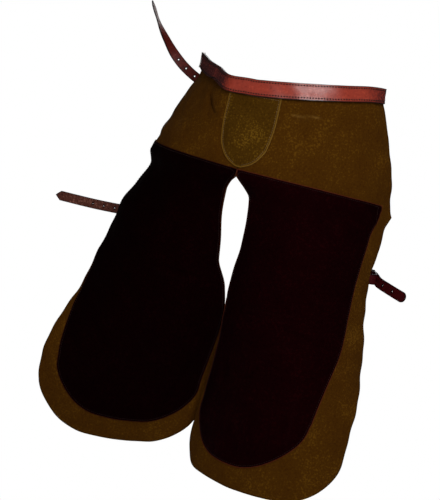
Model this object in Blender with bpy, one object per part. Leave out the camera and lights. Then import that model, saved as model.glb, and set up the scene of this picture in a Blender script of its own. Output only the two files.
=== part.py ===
"""Farrier apron, worn and hollow: metres, +Z up, front faces -Y, origin in the middle of the waist ring.

Left and right are as seen from the front. Every flat piece is drawn as it is cut, in across
(distance from the centre line) and drop (distance below the waistline), then hung by place().
"""

import math

import bpy
import numpy as np
from mathutils import Vector
from mathutils.geometry import delaunay_2d_cdt

SUEDE = 0.0022
PATCH = 0.0018
SEAM = 0.0003
BELT_WIDTH = 0.032
BELT_THICK = 0.0045
BELT_HALF = 0.258
SCOOP = 0.034
SCOOP_SHAPE = 1.5
STRAP_WIDTH = 0.021
STRAP_THICK = 0.0028
HOLE = 0.0024
SEAT_GAP = 0.0016
BILLET_THICK = 0.0022
WIRE = 0.0020
TONGUE_WIRE = 0.0014
PANEL_PITCH = 0.027
STRAP_PITCH = 0.012
HEM = 0.752
# The rounded hem: inner corner, outer corner, how much its corners rise
HEM_CUT = {"left": (0.086, 0.136, 0.022), "right": (0.072, 0.092, 0.015)}
CROTCH = 0.171

# The cut of one leg panel. Only the hem's corners differ between the sides.
# drop below the waistline, outer edge of the yoke
YOKE_SIDE = (
    (-0.027, 0.258),
    (0.020, 0.282),
    (0.090, 0.312),
    (0.150, 0.332),
    (0.188, 0.346),
)
# drop, outer edge of the leg, from the hip corner down
LEG_SIDE = (
    (0.188, 0.346),
    (0.208, 0.331),
    (0.245, 0.320),
    (0.300, 0.318),
    (0.380, 0.327),
    (0.460, 0.340),
    (0.540, 0.352),
    (0.640, 0.356),
    (0.748, 0.352),
)
# drop, inner edge of the leg, from the crotch down
INNER_SIDE = (
    (0.171, 0.000),
    (0.184, 0.012),
    (0.204, 0.020),
    (0.240, 0.019),
    (0.340, 0.013),
    (0.480, 0.008),
    (0.640, 0.006),
    (0.748, 0.006),
)
# The dark patch: drop of a point on its outer edge, width of suede left outside it, left and right
PATCH_BORDER = (
    (0.150, 0.008, 0.030),
    (0.240, 0.008, 0.041),
    (0.340, 0.008, 0.048),
    (0.440, 0.008, 0.062),
    (0.540, 0.028, 0.085),
    (0.640, 0.046, 0.088),
)
PATCH_TOP = 0.156
PATCH_TOP_OUTER = 0.168
PATCH_HEM = 0.709
PATCH_INNER = 0.004
PATCH_CORNER_IN = 0.090
PATCH_CORNER_OUT = 0.110
# The rounded patch over the centre seam: drop, half width
CENTRE_PATCH = (
    (0.010, 0.052),
    (0.060, 0.053),
    (0.108, 0.048),
    (0.133, 0.036),
    (0.147, 0.020),
    (0.1525, 0.006),
)

# How each side hangs, a row per section: drop, x and y where the section starts at the centre line
# (x away from the centre), first heading, even turn, bend, where the bend is, how much higher the
# row hangs, how much higher its outer side is than level, per metre, and the curl at its inner edge.
HANG = {
    "right": (
        (0.000, 0.000, -0.130, 0, 62, 13, 0.88, 0.000, 0.035, 0),
        (0.090, 0.000, -0.137, 0, 62, 11, 0.88, -0.001, 0.00, 0),
        (0.146, 0.000, -0.142, 0, 66, 8, 0.86, 0.000, 0.00, 0),
        (0.166, 0.000, -0.142, -1, 69, 7, 0.86, 0.000, 0.00, 0),
        (0.206, 0.006, -0.134, -8, 82, 0, 0.50, 0.000, 0.00, 26),
        (0.250, 0.010, -0.116, -22, 98, 0, 0.50, 0.000, 0.00, 14),
        (0.300, 0.013, -0.0967, -38, 118, 0, 0.50, 0.000, 0.00, 3),
        (0.360, 0.010, -0.0921, -41, 120, 0, 0.50, 0.000, 0.00, 0),
        (0.457, 0.011, -0.0861, -45, 121, 0, 0.50, 0.000, 0.00, 0),
        (0.600, -0.002, -0.0700, -52, 109, 0, 0.50, 0.000, 0.00, 0),
        (0.750, -0.019, -0.0613, -52, 89, 0, 0.50, 0.003, 0.00, 0),
    ),
    "left": (
        (0.000, 0.000, -0.130, 0, 19, 38, 0.19, 0.000, 0.055, 0),
        (0.090, 0.000, -0.137, 0, 52, 14, 0.26, -0.001, 0.075, 0),
        (0.146, 0.000, -0.142, 0, 62, 8, 0.50, 0.000, 0.10, 0),
        (0.166, 0.000, -0.142, -1, 64, 7, 0.50, 0.000, 0.105, 0),
        (0.206, 0.003, -0.134, -6, 79, 0, 0.50, 0.003, 0.09, 20),
        (0.250, 0.005, -0.116, -20, 89, 0, 0.50, 0.006, 0.055, 10),
        (0.300, 0.006, -0.0977, -38, 101, 0, 0.50, 0.008, 0.03, 2),
        (0.345, 0.006, -0.0918, -41, 100, 0, 0.50, 0.012, 0.00, 0),
        (0.400, -0.012, -0.0830, -43, 86, 0, 0.50, 0.016, -0.03, 0),
        (0.457, -0.017, -0.0724, -42, 74, 0, 0.50, 0.017, -0.05, 0),
        (0.600, -0.001, -0.0463, -35, 40, 0, 0.50, 0.020, -0.055, 0),
        (0.750, 0.016, -0.0327, -33, 38, 0, 0.50, 0.019, -0.055, 0),
    ),
}
CURL_FROM = 0.160
# Large folds: side, across, drop, lean from upright, half length, half width, depth
FOLDS = (
    ("left", 0.105, 0.060, -30, 0.045, 0.012, -0.0030),
    ("left", 0.170, 0.400, -75, 0.070, 0.016, -0.0028),
    ("left", 0.120, 0.560, 20, 0.110, 0.024, 0.0040),
    ("right", 0.070, 0.420, 80, 0.060, 0.014, -0.0030),
    ("right", 0.200, 0.560, -12, 0.120, 0.026, 0.0040),
    ("right", 0.190, 0.090, 35, 0.050, 0.016, -0.0022),
)


def smooth(rows, column, at):
    """A column of a table at any value of its first column, as one smooth curve that never overshoots."""
    knots = np.array([row[0] for row in rows], float)
    values = np.array([row[column] for row in rows], float)
    secants = np.diff(values) / np.diff(knots)
    slopes = np.concatenate([secants[:1], secants])
    before, after = secants[:-1], secants[1:]
    same = before * after > 0
    slopes[1:-1] = np.where(same, 2 * before * after / np.where(same, before + after, 1), 0)
    at = np.clip(at, knots[0], knots[-1])
    i = np.clip(np.searchsorted(knots, at) - 1, 0, len(knots) - 2)
    step = knots[i + 1] - knots[i]
    f = (at - knots[i]) / step
    low = values[i] * (1 + 2 * f) * (1 - f) ** 2 + values[i + 1] * f * f * (3 - 2 * f)
    return low + step * (slopes[i] * f * (1 - f) ** 2 + slopes[i + 1] * f * f * (f - 1))


def outer_edge(drop):
    """The flat outer edge of a panel at a drop."""
    return np.where(drop < LEG_SIDE[0][0], smooth(YOKE_SIDE, 1, drop), smooth(LEG_SIDE, 1, drop))


def inner_edge(drop):
    return smooth(INNER_SIDE, 1, drop)


def hang(side, across, drop):
    """Where a point of the cut hangs, with no folds. across is counted from the centre line."""
    rows = HANG[side]
    x, y, start, even, bend, where, up, rise, curl = (smooth(rows, i, drop)[:, None] for i in range(1, 10))
    width = np.maximum(outer_edge(drop), 0.2)[:, None]
    samples = (np.arange(24) + 0.5) / 24

    def walk(first, last, curled):
        """The way gone between two places on the section."""
        at = first + (last - first) * samples
        turn = start + even * at / width + bend * (0.5 + 0.5 * np.tanh((at / width - where) / 0.06))
        heading = np.radians(turn - curled * curl * np.clip(1 - at / CURL_FROM, 0, 1) ** 1.5)
        return (last - first)[:, 0] * np.stack([np.cos(heading).mean(1), np.sin(heading).mean(1)])

    middle = np.full((len(across), 1), CURL_FROM)
    way = walk(0 * middle, middle, 0) + walk(middle, across[:, None], 1)
    sign = 1.0 if side == "right" else -1.0
    height = up[:, 0] + rise[:, 0] * across - drop
    return np.stack([sign * (x[:, 0] + way[0]), y[:, 0] + way[1], height], 1)


def both(across, drop):
    """hang() for points on either side: across is negative on the left."""
    right = hang("right", np.abs(across), drop)
    left = hang("left", np.abs(across), drop)
    return np.where((across >= 0)[:, None], right, left)


def outward(across, drop):
    """Unit vectors that point out of the front of the hung cut."""
    e = 0.002
    along = both(across + e, drop) - both(across - e, drop)
    down = both(across, drop + e) - both(across, drop - e)
    normal = np.cross(down, along)
    return normal / np.linalg.norm(normal, axis=1)[:, None]


def fold_depth(across, drop):
    """How far the large folds push the cut in or out."""
    depth = np.zeros(len(across))
    for side, at, down, lean, length, width, amount in FOLDS:
        sign = 1.0 if side == "right" else -1.0
        turn = math.radians(lean)
        dx = across * sign - at
        dy = drop - down
        run = dx * math.sin(turn) + dy * math.cos(turn)
        off = dx * math.cos(turn) - dy * math.sin(turn)
        fade = np.exp(-((run / length) ** 4) - (off / width) ** 2)
        depth += np.where(across * sign > 0.012, amount * fade, 0.0)
    return depth


def place(across, drop, lift):
    """A point of the cut, hung, folded and moved out by lift."""
    across = np.asarray(across, float)
    drop = np.asarray(drop, float)
    move = fold_depth(across, drop) + lift
    return both(across, drop) + outward(across, drop) * move[:, None]


def waistline(across):
    """Drop of the top of the yoke: it is cut higher at the sides."""
    return -SCOOP * np.abs(across / BELT_HALF) ** SCOOP_SHAPE


def quarter(centre, radius, first, last, count=9):
    """Points on part of an ellipse, angles in degrees from +across towards +drop."""
    angles = np.radians(np.linspace(first, last, count))
    return [(centre[0] + radius[0] * math.cos(a), centre[1] + radius[1] * math.sin(a)) for a in angles]


def with_hem(edge_in, edge_out, hem, corner_in, corner_out, sag):
    """The bottom of a flap, from its outer edge round to its inner edge, with rounded corners."""
    out = quarter((edge_out - corner_out, hem - corner_out), (corner_out, corner_out), 0, 90)
    inner = quarter((edge_in + corner_in, hem - corner_in), (corner_in, corner_in), 90, 180)
    middle = [(a, hem) for a in np.linspace(out[-1][0], inner[0][0], 7)[1:-1]]
    half = (edge_out - edge_in) / 2
    bowed = []
    for across, drop in out + middle + inner:
        share = 1 - ((across - edge_in - half) / half) ** 2
        bowed.append((across, drop - sag * (1 - share) * max(0.0, (drop - hem + corner_in) / corner_in)))
    return bowed


def panel_outline(side_name):
    """The cut of a leg panel: waist, outer edge, hem, inner edge, crotch, centre seam."""
    points = [(a, float(waistline(a))) for a in np.linspace(0.0, BELT_HALF, 11)]
    points += [(row_out(YOKE_SIDE, d), d) for d in np.linspace(-0.014, LEG_SIDE[0][0], 9)]
    corner_in, corner_out, sag = HEM_CUT[side_name]
    side = np.linspace(LEG_SIDE[0][0] + 0.008, HEM - corner_out - 0.02, 20)
    points += [(row_out(LEG_SIDE, d), d) for d in side]
    points += with_hem(0.006, row_out(LEG_SIDE, HEM - corner_out), HEM, corner_in, corner_out, sag)
    inside = np.linspace(HEM - corner_in - 0.02, 0.212, 18)
    points += [(row_out(INNER_SIDE, d), d) for d in inside]
    points += [(row_out(INNER_SIDE, d), d) for d in (0.197, 0.186, 0.178, 0.174)]
    points += [(0.0, d) for d in (CROTCH, 0.164)]
    points += [(0.0, d) for d in np.linspace(0.1527, 0.030, 6)]
    return points + [(0.0, 0.010)]


def patch_outline(column):
    """The cut of the dark patch on one leg, inside the panel's: column 1 is the left border, 2 the right."""
    top = np.linspace(0.0005, 1.0, 12)
    last = row_out(YOKE_SIDE, PATCH_TOP_OUTER) - smooth(PATCH_BORDER, column, PATCH_TOP_OUTER)
    points = [(f * last, PATCH_TOP + (PATCH_TOP_OUTER - PATCH_TOP) * f) for f in top]
    side = np.linspace(0.200, PATCH_HEM - PATCH_CORNER_OUT - 0.01, 16)
    edge = [row_out(LEG_SIDE, d) - float(smooth(PATCH_BORDER, column, d)) for d in side]
    points += list(zip(edge, side))
    low = 0.006 + PATCH_INNER + 0.012
    points += with_hem(low, edge[-1] - 0.002, PATCH_HEM, PATCH_CORNER_IN, PATCH_CORNER_OUT, 0.026)
    inside = np.linspace(PATCH_HEM - PATCH_CORNER_IN - 0.02, 0.212, 16)
    margin = PATCH_INNER + 0.012 * np.clip((inside - 0.45) / 0.15, 0, 1)
    points += [(row_out(INNER_SIDE, d) + m, d) for d, m in zip(inside, margin)]
    points += [(row_out(INNER_SIDE, d) + PATCH_INNER, d) for d in (0.197, 0.186, 0.178)]
    points += [(0.004, 0.1700), (0.0015, 0.1680)]
    return points


def centre_outline():
    """Right half of the rounded centre patch, from its top at the centre line round to its foot."""
    down = np.linspace(CENTRE_PATCH[0][0], CENTRE_PATCH[-1][0], 14)
    points = [(a, 0.010) for a in (0.0, 0.018, 0.036)]
    points += [(float(smooth(CENTRE_PATCH, 1, d)), d) for d in down]
    return points + [(0.0, d) for d in np.linspace(0.1527, 0.030, 6)]


def row_out(rows, drop):
    return float(smooth(rows, 1, drop))


def inside(points, loop):
    """Which of the points are inside the closed loop."""
    loop = np.asarray(loop, float)
    hit = np.zeros(len(points), bool)
    x, y = points[:, 0], points[:, 1]
    for a, b in zip(loop, np.roll(loop, -1, 0)):
        spans = (a[1] > y) != (b[1] > y)
        height = b[1] - a[1] if b[1] != a[1] else 1e-12
        hit ^= spans & (x < (b[0] - a[0]) * (y - a[1]) / height + a[0])
    return hit


def divided(loop, pitch):
    """The loop with points added, so that no side is longer than the pitch."""
    points = []
    for a, b in zip(loop, loop[1:] + loop[:1]):
        count = max(1, math.ceil(math.dist(a, b) / pitch))
        points += [(a[0] + (b[0] - a[0]) * i / count, a[1] + (b[1] - a[1]) * i / count) for i in range(count)]
    return points


def distance_to(points, loop):
    """Distance of each point from the nearest side of the loop."""
    loop = np.asarray(loop, float)
    best = np.full(len(points), 1e9)
    for a, b in zip(loop, np.roll(loop, -1, 0)):
        side = b - a
        f = np.clip(((points - a) @ side) / max(side @ side, 1e-18), 0, 1)
        best = np.minimum(best, np.linalg.norm(points - a - f[:, None] * side, axis=1))
    return best


def grid_inside(loops, outer, pitch):
    """Staggered points inside the outer loop, clear of the sides of every loop."""
    low, high = outer.min(0), outer.max(0)
    columns = np.arange(low[0] + pitch / 2, high[0], pitch)
    rows = np.arange(low[1] + pitch / 2, high[1], pitch * 0.87)
    grid = np.array([(a + pitch / 2 * (i % 2), d) for i, d in enumerate(rows) for a in columns])
    keep = inside(grid, outer)
    for loop in loops:
        keep &= distance_to(grid, loop) > 0.45 * pitch
    return [tuple(p) for p in grid[keep]]


def fill(loops, pitch, lines=None):
    """Flat triangles inside the first loop, with the sides of all the loops as edges of triangles.

    lines holds cuts across a strap, at which it bends; without them a grid of points fills the loop.
    """
    loops = [divided(loop, pitch) for loop in loops]
    outer = np.array(loops[0])
    corners, edges = [], []
    for loop in loops:
        first = len(corners)
        corners += loop
        edges += [(first + i, first + (i + 1) % len(loop)) for i in range(len(loop))]
    if lines is None:
        corners += grid_inside(loops, outer, pitch)
    for line in lines or ():
        edges.append((len(corners), len(corners) + 1))
        corners += line
    found = delaunay_2d_cdt([Vector(p) for p in corners], edges, [], 0, 1e-7)
    points = np.array([tuple(p) for p in found[0]])
    triangles = np.array(found[2])
    a, b, c = (points[triangles[:, i]] for i in range(3))
    area = (b[:, 0] - a[:, 0]) * (c[:, 1] - a[:, 1]) - (b[:, 1] - a[:, 1]) * (c[:, 0] - a[:, 0])
    triangles[area < 0] = triangles[area < 0][:, ::-1]
    triangles = triangles[np.abs(area) > 1e-10]
    middle = points[triangles].mean(1)
    return points, triangles[inside(middle, outer)]


def select(points, triangles, loop, holes=()):
    """The triangles inside one loop and outside the holes."""
    middle = points[triangles].mean(1)
    keep = inside(middle, loop)
    for hole in holes:
        keep &= ~inside(middle, hole)
    return triangles[keep]


def build(name, corners, faces, material):
    mesh = bpy.data.meshes.new(name)
    mesh.from_pydata([tuple(map(float, c)) for c in corners], [], [tuple(map(int, f)) for f in faces])
    mesh.materials.append(MATERIALS[material])
    mesh.update()
    thing = bpy.data.objects.new(name, mesh)
    COLLECTION.objects.link(thing)
    return thing


def slab(name, inner, outer, triangles, material):
    """A sheet with thickness: inner and outer hold the same points on its two faces."""
    used = np.unique(triangles)
    number = np.full(len(inner), -1)
    number[used] = np.arange(len(used))
    triangles = number[triangles]
    inner, outer = inner[used], outer[used]
    a, b, c = (outer[triangles[:, i]] for i in range(3))
    if (np.cross(b - a, c - a) * (outer - inner)[triangles[:, 0]]).sum() < 0:
        triangles = triangles[:, ::-1]
    sides = np.concatenate([triangles[:, [0, 1]], triangles[:, [1, 2]], triangles[:, [2, 0]]])
    known = {tuple(side) for side in sides}
    rim = [side for side in known if side[::-1] not in known]
    count = len(inner)
    faces = [tuple(t + count) for t in triangles] + [tuple(t[::-1]) for t in triangles]
    faces += [(p, q, q + count, p + count) for p, q in rim]
    return build(name, np.concatenate([inner, outer]), faces, material)


def seam_apart(points, sign):
    """Moves the points of the centre seam half a seam gap to their side, and mirrors the left."""
    across = np.maximum(points[:, 0], SEAM / 2)
    return across * sign, points[:, 1]


def cloth():
    """The two panels, the dark patches on them and the rounded patch over the centre seam."""
    low = SUEDE + SEAM
    halves = []
    for side, sign, column in (("left", -1.0, 1), ("right", 1.0, 2)):
        patch, centre = patch_outline(column), centre_outline()
        points, triangles = fill([panel_outline(side), patch, centre], PANEL_PITCH)
        across, drop = seam_apart(points, sign)
        slab(f"panel_{side}", place(across, drop, 0.0), place(across, drop, SUEDE), triangles, "suede")
        dark = select(points, triangles, patch)
        slab(f"thigh_patch_{side}", place(across, drop, low), place(across, drop, low + PATCH), dark, "dark")
        mine = select(points, triangles, centre)
        halves.append((points * (sign, 1.0), mine if sign > 0 else mine[:, ::-1]))
    (left, left_faces), (right, right_faces) = halves
    count = len(left)
    joined = np.arange(count + len(right))
    for i in np.flatnonzero(np.abs(right[:, 0]) < 1e-6):
        twin = np.argmin(np.linalg.norm(left - right[i], axis=1))
        joined[count + i] = twin
        left[twin, 0] = 0.0
    whole = np.concatenate([left, right])
    faces = joined[np.concatenate([left_faces, right_faces + count])]
    inner = place(whole[:, 0], whole[:, 1], low)
    outer = place(whole[:, 0], whole[:, 1], low + PATCH)
    slab("centre_patch", inner, outer, faces, "suede")


def belt():
    """The belt over the top of the yoke, and the steel strip that closes its left end."""
    lift = SUEDE + SEAM + PATCH + 0.0008
    half = BELT_WIDTH / 2
    loop = [(-BELT_HALF, -half), (BELT_HALF, -half), (BELT_HALF, half), (-BELT_HALF, half)]
    points, triangles = fill([loop], STRAP_PITCH)
    across = points[:, 0]
    drop = waistline(across) + points[:, 1]
    slab("belt_front", place(across, drop, lift), place(across, drop, lift + BELT_THICK), triangles, "belt")
    wall = 0.0008
    end = -BELT_HALF
    near, far = lift - 0.0006 - wall, lift + BELT_THICK + 0.0006 + wall
    section = [
        (end + 0.005, near), (end - SEAM - wall, near), (end - SEAM - wall, far), (end + 0.005, far),
        (end + 0.005, far - wall), (end - SEAM, far - wall), (end - SEAM, near + wall), (end + 0.005, near + wall),
    ]
    corners = []
    levels = np.linspace(-half - 0.0006, half + 0.0006, 7)
    for level in levels:
        for a, n in section:
            corners.append(place([a], [float(waistline(end)) + level], n)[0])
    faces = []
    for i in range(len(levels) - 1):
        faces += [(8 * i + k, 8 * i + (k + 1) % 8, 8 * i + 8 + (k + 1) % 8, 8 * i + 8 + k) for k in range(8)]
    caps = [(0, 1, 6, 7), (1, 2, 5, 6), (2, 3, 4, 5)]
    top = 8 * (len(levels) - 1)
    faces += [tuple(top + i for i in cap) for cap in caps] + [cap[::-1] for cap in caps]
    face_out(build("belt_tip", corners, faces, "steel"))


def face_out(thing):
    """Turns the faces of a closed body outwards."""
    mesh = thing.data
    mesh.calc_loop_triangles()
    corners = np.array([v.co for v in mesh.vertices])
    triangles = np.array([t.vertices for t in mesh.loop_triangles])
    a, b, c = (corners[triangles[:, i]] for i in range(3))
    if (np.cross(a, b) * c).sum() < 0:
        mesh.flip_normals()


MATERIALS = {}
COLLECTION = None


def start():
    global COLLECTION
    for thing in list(bpy.data.objects):
        bpy.data.objects.remove(thing)
    COLLECTION = bpy.data.collections.new("farrier_apron")
    bpy.context.scene.collection.children.link(COLLECTION)
    colours = {
        "suede": (0.055, 0.020, 0.003, 0.95, 0.0),
        "dark": (0.006, 0.0008, 0.001, 0.45, 0.0),
        "belt": (0.22, 0.045, 0.028, 0.35, 0.0),
        "strap": (0.11, 0.030, 0.018, 0.45, 0.0),
        "steel": (0.55, 0.53, 0.52, 0.30, 1.0),
    }
    for name, (red, green, blue, rough, metal) in colours.items():
        material = bpy.data.materials.new(name)
        material.use_nodes = True
        shader = material.node_tree.nodes["Principled BSDF"]
        shader.inputs["Base Color"].default_value = (red, green, blue, 1.0)
        shader.inputs["Roughness"].default_value = rough
        shader.inputs["Metallic"].default_value = metal
        material.diffuse_color = (red, green, blue, 1.0)
        MATERIALS[name] = material


def unit(v):
    return v / np.linalg.norm(v)


def smooth_path(rows, spacing=0.0006):
    """A smooth curve through rows of x, y, z, tilt: its points, its unit directions and its length."""
    rows = np.array(rows, float)
    steps = np.linalg.norm(np.diff(rows[:, :3], axis=0), axis=1)
    knots = np.concatenate([[0], np.cumsum(steps)])
    table = np.column_stack([knots, rows])
    at = np.linspace(0, knots[-1], max(8, int(knots[-1] / spacing)))
    points = np.stack([smooth(table, i, at) for i in range(1, 5)], 1)
    run = np.concatenate([[0], np.cumsum(np.linalg.norm(np.diff(points[:, :3], axis=0), axis=1))])
    return run, points


def strip(name, rows, outline, holes, thick, material, front, pitch=STRAP_PITCH):
    """A flat strap cut in along and across, run along a path. front is the side its face looks to."""
    run, path = smooth_path(rows)
    direction = np.gradient(path[:, :3], run, axis=0)
    direction /= np.linalg.norm(direction, axis=1)[:, None]
    upright = np.array([0.0, 0.0, 1.0]) - direction * direction[:, 2:3]
    upright /= np.linalg.norm(upright, axis=1)[:, None]
    normal = np.cross(direction, upright) * front
    turn = np.radians(path[:, 3:4])
    wide = upright * np.cos(turn) + normal * np.sin(turn)
    normal = normal * np.cos(turn) - upright * np.sin(turn)
    steps = np.linalg.norm(np.diff(np.array(rows)[:, :3], axis=0), axis=1)
    stations = np.interp(np.concatenate([[0], np.cumsum(steps)]), np.linspace(0, steps.sum(), len(run)), run)
    punched = holes(stations)
    bend = np.linalg.norm(np.diff(normal, axis=0), axis=1) + np.linalg.norm(np.diff(direction, axis=0), axis=1)
    measure = np.concatenate([[0], np.cumsum(np.diff(run) / pitch + bend / math.radians(16))])
    cuts = np.interp(np.arange(1, int(measure[-1])), measure, run)
    half = STRAP_WIDTH
    points, triangles = fill([outline(run[-1]), *punched], 1.0, [[(c, -half), (c, half)] for c in cuts])
    for hole in punched:
        triangles = triangles[~inside(points[triangles].mean(1), hole)]

    def at(values):
        return np.stack([np.interp(points[:, 0], run, values[:, i]) for i in range(3)], 1)

    middle = at(path) + at(wide) * points[:, 1:2]
    side = at(normal)
    side /= np.linalg.norm(side, axis=1)[:, None]
    slab(name, middle - side * thick / 2, middle + side * thick / 2, triangles, material)


def blunt(width):
    return lambda length: [(0, -width / 2), (length, -width / 2), (length, width / 2), (0, width / 2)]


def pointed(width, point):
    return lambda length: [
        (0, -width / 2), (length - point, -width / 2), (length, 0), (length - point, width / 2), (0, width / 2),
    ]


def rounded(width):
    def loop(length):
        end = quarter((length - width * 0.42, 0), (width * 0.42, width / 2), -90, 90, 9)
        return [(0, -width / 2), *end, (0, width / 2)]

    return loop


def ring_of(centre, size, count=8):
    return [
        (centre + size[0] * math.cos(2 * math.pi * i / count), size[1] * math.sin(2 * math.pi * i / count))
        for i in range(count)
    ]


def swept(name, origin, e1, e2, path, section, closed, material):
    """A bar bent in the plane of e1 and e2: path and section are flat, and section's second size lies along e1 x e2."""
    path = np.array(path, float)
    count = len(path)
    if closed:
        run = np.roll(path, -1, 0) - np.roll(path, 1, 0)
    else:
        run = np.gradient(path, axis=0)
    run /= np.linalg.norm(run, axis=1)[:, None]
    off = np.stack([run[:, 1], -run[:, 0]], 1)
    e3 = np.cross(e1, e2)
    corners = []
    for p, o in zip(path, off):
        for a, b in section:
            flat = p + o * a
            corners.append(origin + e1 * flat[0] + e2 * flat[1] + e3 * b)
    n = len(section)
    faces = []
    for i in range(count if closed else count - 1):
        j = (i + 1) % count
        faces += [(i * n + k, i * n + (k + 1) % n, j * n + (k + 1) % n, j * n + k) for k in range(n)]
    if not closed:
        faces += [tuple(range(n))[::-1], tuple((count - 1) * n + k for k in range(n))]
    face_out(build(name, corners, faces, material))


def round_section(radius, count=8):
    return [(radius * math.cos(2 * math.pi * i / count), radius * math.sin(2 * math.pi * i / count)) for i in range(count)]


def rounded_box(low, high, radius, count=4):
    """A closed flat path round a box with rounded corners."""
    points = []
    corners = ((high[0], high[1], 0), (low[0], high[1], 90), (low[0], low[1], 180), (high[0], low[1], 270))
    for x, y, first in corners:
        cx = x - radius if x == high[0] else x + radius
        cy = y - radius if y == high[1] else y + radius
        points += quarter((cx, cy), (radius, radius), first, first + 90, count)
    return points


# The strap through a buckle: distance along it from the heel bar, and how far out it lies
THROUGH = (
    (-0.040, -0.0020),
    (-0.030, -0.0040),
    (-0.021, -0.0042),
    (-0.012, 0.0002),
    (-0.005, 0.0052),
    (0.000, 0.0068),
    (0.009, 0.0048),
    (0.020, 0.0046),
)


def frame_at(centre, along):
    """Directions at a buckle: along the strap to its tip, across it, and out of it."""
    along = unit(np.array(along, float))
    across = unit(np.array([0.0, 0.0, 1.0]) - along * along[2])
    out = np.cross(along, across)
    if out @ (np.array(centre, float) * (1, 1, 0)) < 0:
        out = -out
    return along, across, out


def buckle(kind, centre, along):
    """Frame, tongue and keeper of one buckle."""
    centre = np.array(centre, float)
    a, b, n = frame_at(centre, along)
    half = STRAP_WIDTH / 2 + 0.0008 + WIRE
    ring = rounded_box((-0.021, -half), (0.0, half), 0.0045)
    swept(f"{kind}_buckle_frame", centre, a, b, ring, round_section(WIRE), True, "steel")
    hook = [(0.0006, -0.0040), (-0.0020, -0.0037), (-0.0037, -0.0020), (-0.0043, 0.0004), (-0.0052, 0.0022)]
    hook += [(-0.0090, 0.0030), (-0.0140, 0.0036), (-0.0210, 0.0038), (-0.0242, 0.0030)]
    swept(f"{kind}_buckle_tongue", centre, a, n, hook, round_section(TONGUE_WIRE, 6), False, "steel")
    low = -BILLET_THICK - 0.0002 - SEAM - 0.0008
    high = 0.0046 + STRAP_THICK / 2 + SEAM + 0.0008
    side = STRAP_WIDTH / 2 + SEAM + 0.0010
    band = rounded_box((-side, low), (side, high), 0.0012, 3)
    strap = [(-0.0007, -0.0035), (0.0007, -0.0035), (0.0007, 0.0035), (-0.0007, 0.0035)]
    swept(f"{kind}_keeper", centre + a * 0.0155, b, n, band, strap, True, "strap")


def buckle_rows(centre, along, tilt=0.0):
    centre = np.array(centre, float)
    a, _, n = frame_at(centre, along)
    return [(*(centre + a * p + n * q), tilt) for p, q in THROUGH]


def billet(name, centre, along, rest):
    """The short strap that holds a buckle: doubled round the heel bar, with a slot for the tongue."""
    centre = np.array(centre, float)
    a, _, n = frame_at(centre, along)
    ply = BILLET_THICK / 2 + 0.00025
    bend = WIRE + SEAM + BILLET_THICK / 2
    rows = [(0.024, -ply), (0.012, -ply), (0.0050, -ply - 0.0008)]
    rows += [(bend * math.cos(t), -bend * math.sin(t)) for t in np.radians((75, 100, 130, 155, 180, 205, 230, 260, 285))]
    rows += [(0.0050, ply + 0.0008), (0.012, ply), (0.024, ply)]
    path = [(*(centre + a * p + n * q), 0.0) for p, q in rows]
    width = STRAP_WIDTH - 0.0008

    def slot(stations):
        low, high = stations[2] - 0.001, stations[10]
        return [[(low, -0.0024), (high, -0.0024), (high, 0.0024), (low, 0.0024)]]

    strip(name, path + rest, blunt(width), slot, BILLET_THICK, "strap", 1, 0.010)


def seat(across, drop, thick, toward, front=1):
    """A row of a strap's path on the inner face of a panel, leaning as the panel does there.

    toward is 1 where across grows along the path, else -1.
    """
    e = 0.004
    ends = place([across, across - e, across + e, across, across], [drop, drop, drop, drop - e, drop + e], -SEAT_GAP - thick / 2)
    direction = unit((ends[2] - ends[1]) * toward)
    rise = unit(ends[3] - ends[4])
    upright = unit(np.array([0.0, 0.0, 1.0]) - direction * direction[2])
    normal = np.cross(direction, upright) * front
    tilt = math.degrees(math.atan2(rise @ normal, rise @ upright))
    return (*ends[0], tilt)


def strap(name, lead, centre, along, tail, outline, count, spacing, front):
    """A long strap: its path to the buckle, through it, and its free tail with punched holes."""
    rows = lead + buckle_rows(centre, along) + tail
    heel = len(lead) + 5

    def holes(stations):
        bar = stations[heel]
        slot = [(bar - 0.0150, -0.0022), (bar - 0.0035, -0.0022), (bar - 0.0035, 0.0022), (bar - 0.0150, 0.0022)]
        first = bar + 0.030
        size = (HOLE, HOLE)
        return [slot] + [ring_of(first + spacing * i, size) for i in range(count)]

    strip(name, rows, outline, holes, STRAP_THICK, "strap", front)


WAIST_BUCKLE = (-0.106, 0.118, -0.009)
WAIST_ALONG = (-0.95, -0.31, 0.0)
LEFT_BUCKLE = (-0.225, 0.065, -0.290)
LEFT_ALONG = (-0.80, -0.60, 0.0)
RIGHT_BUCKLE = (0.238, 0.052, -0.308)
RIGHT_ALONG = (0.80, -0.60, 0.0)


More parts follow.
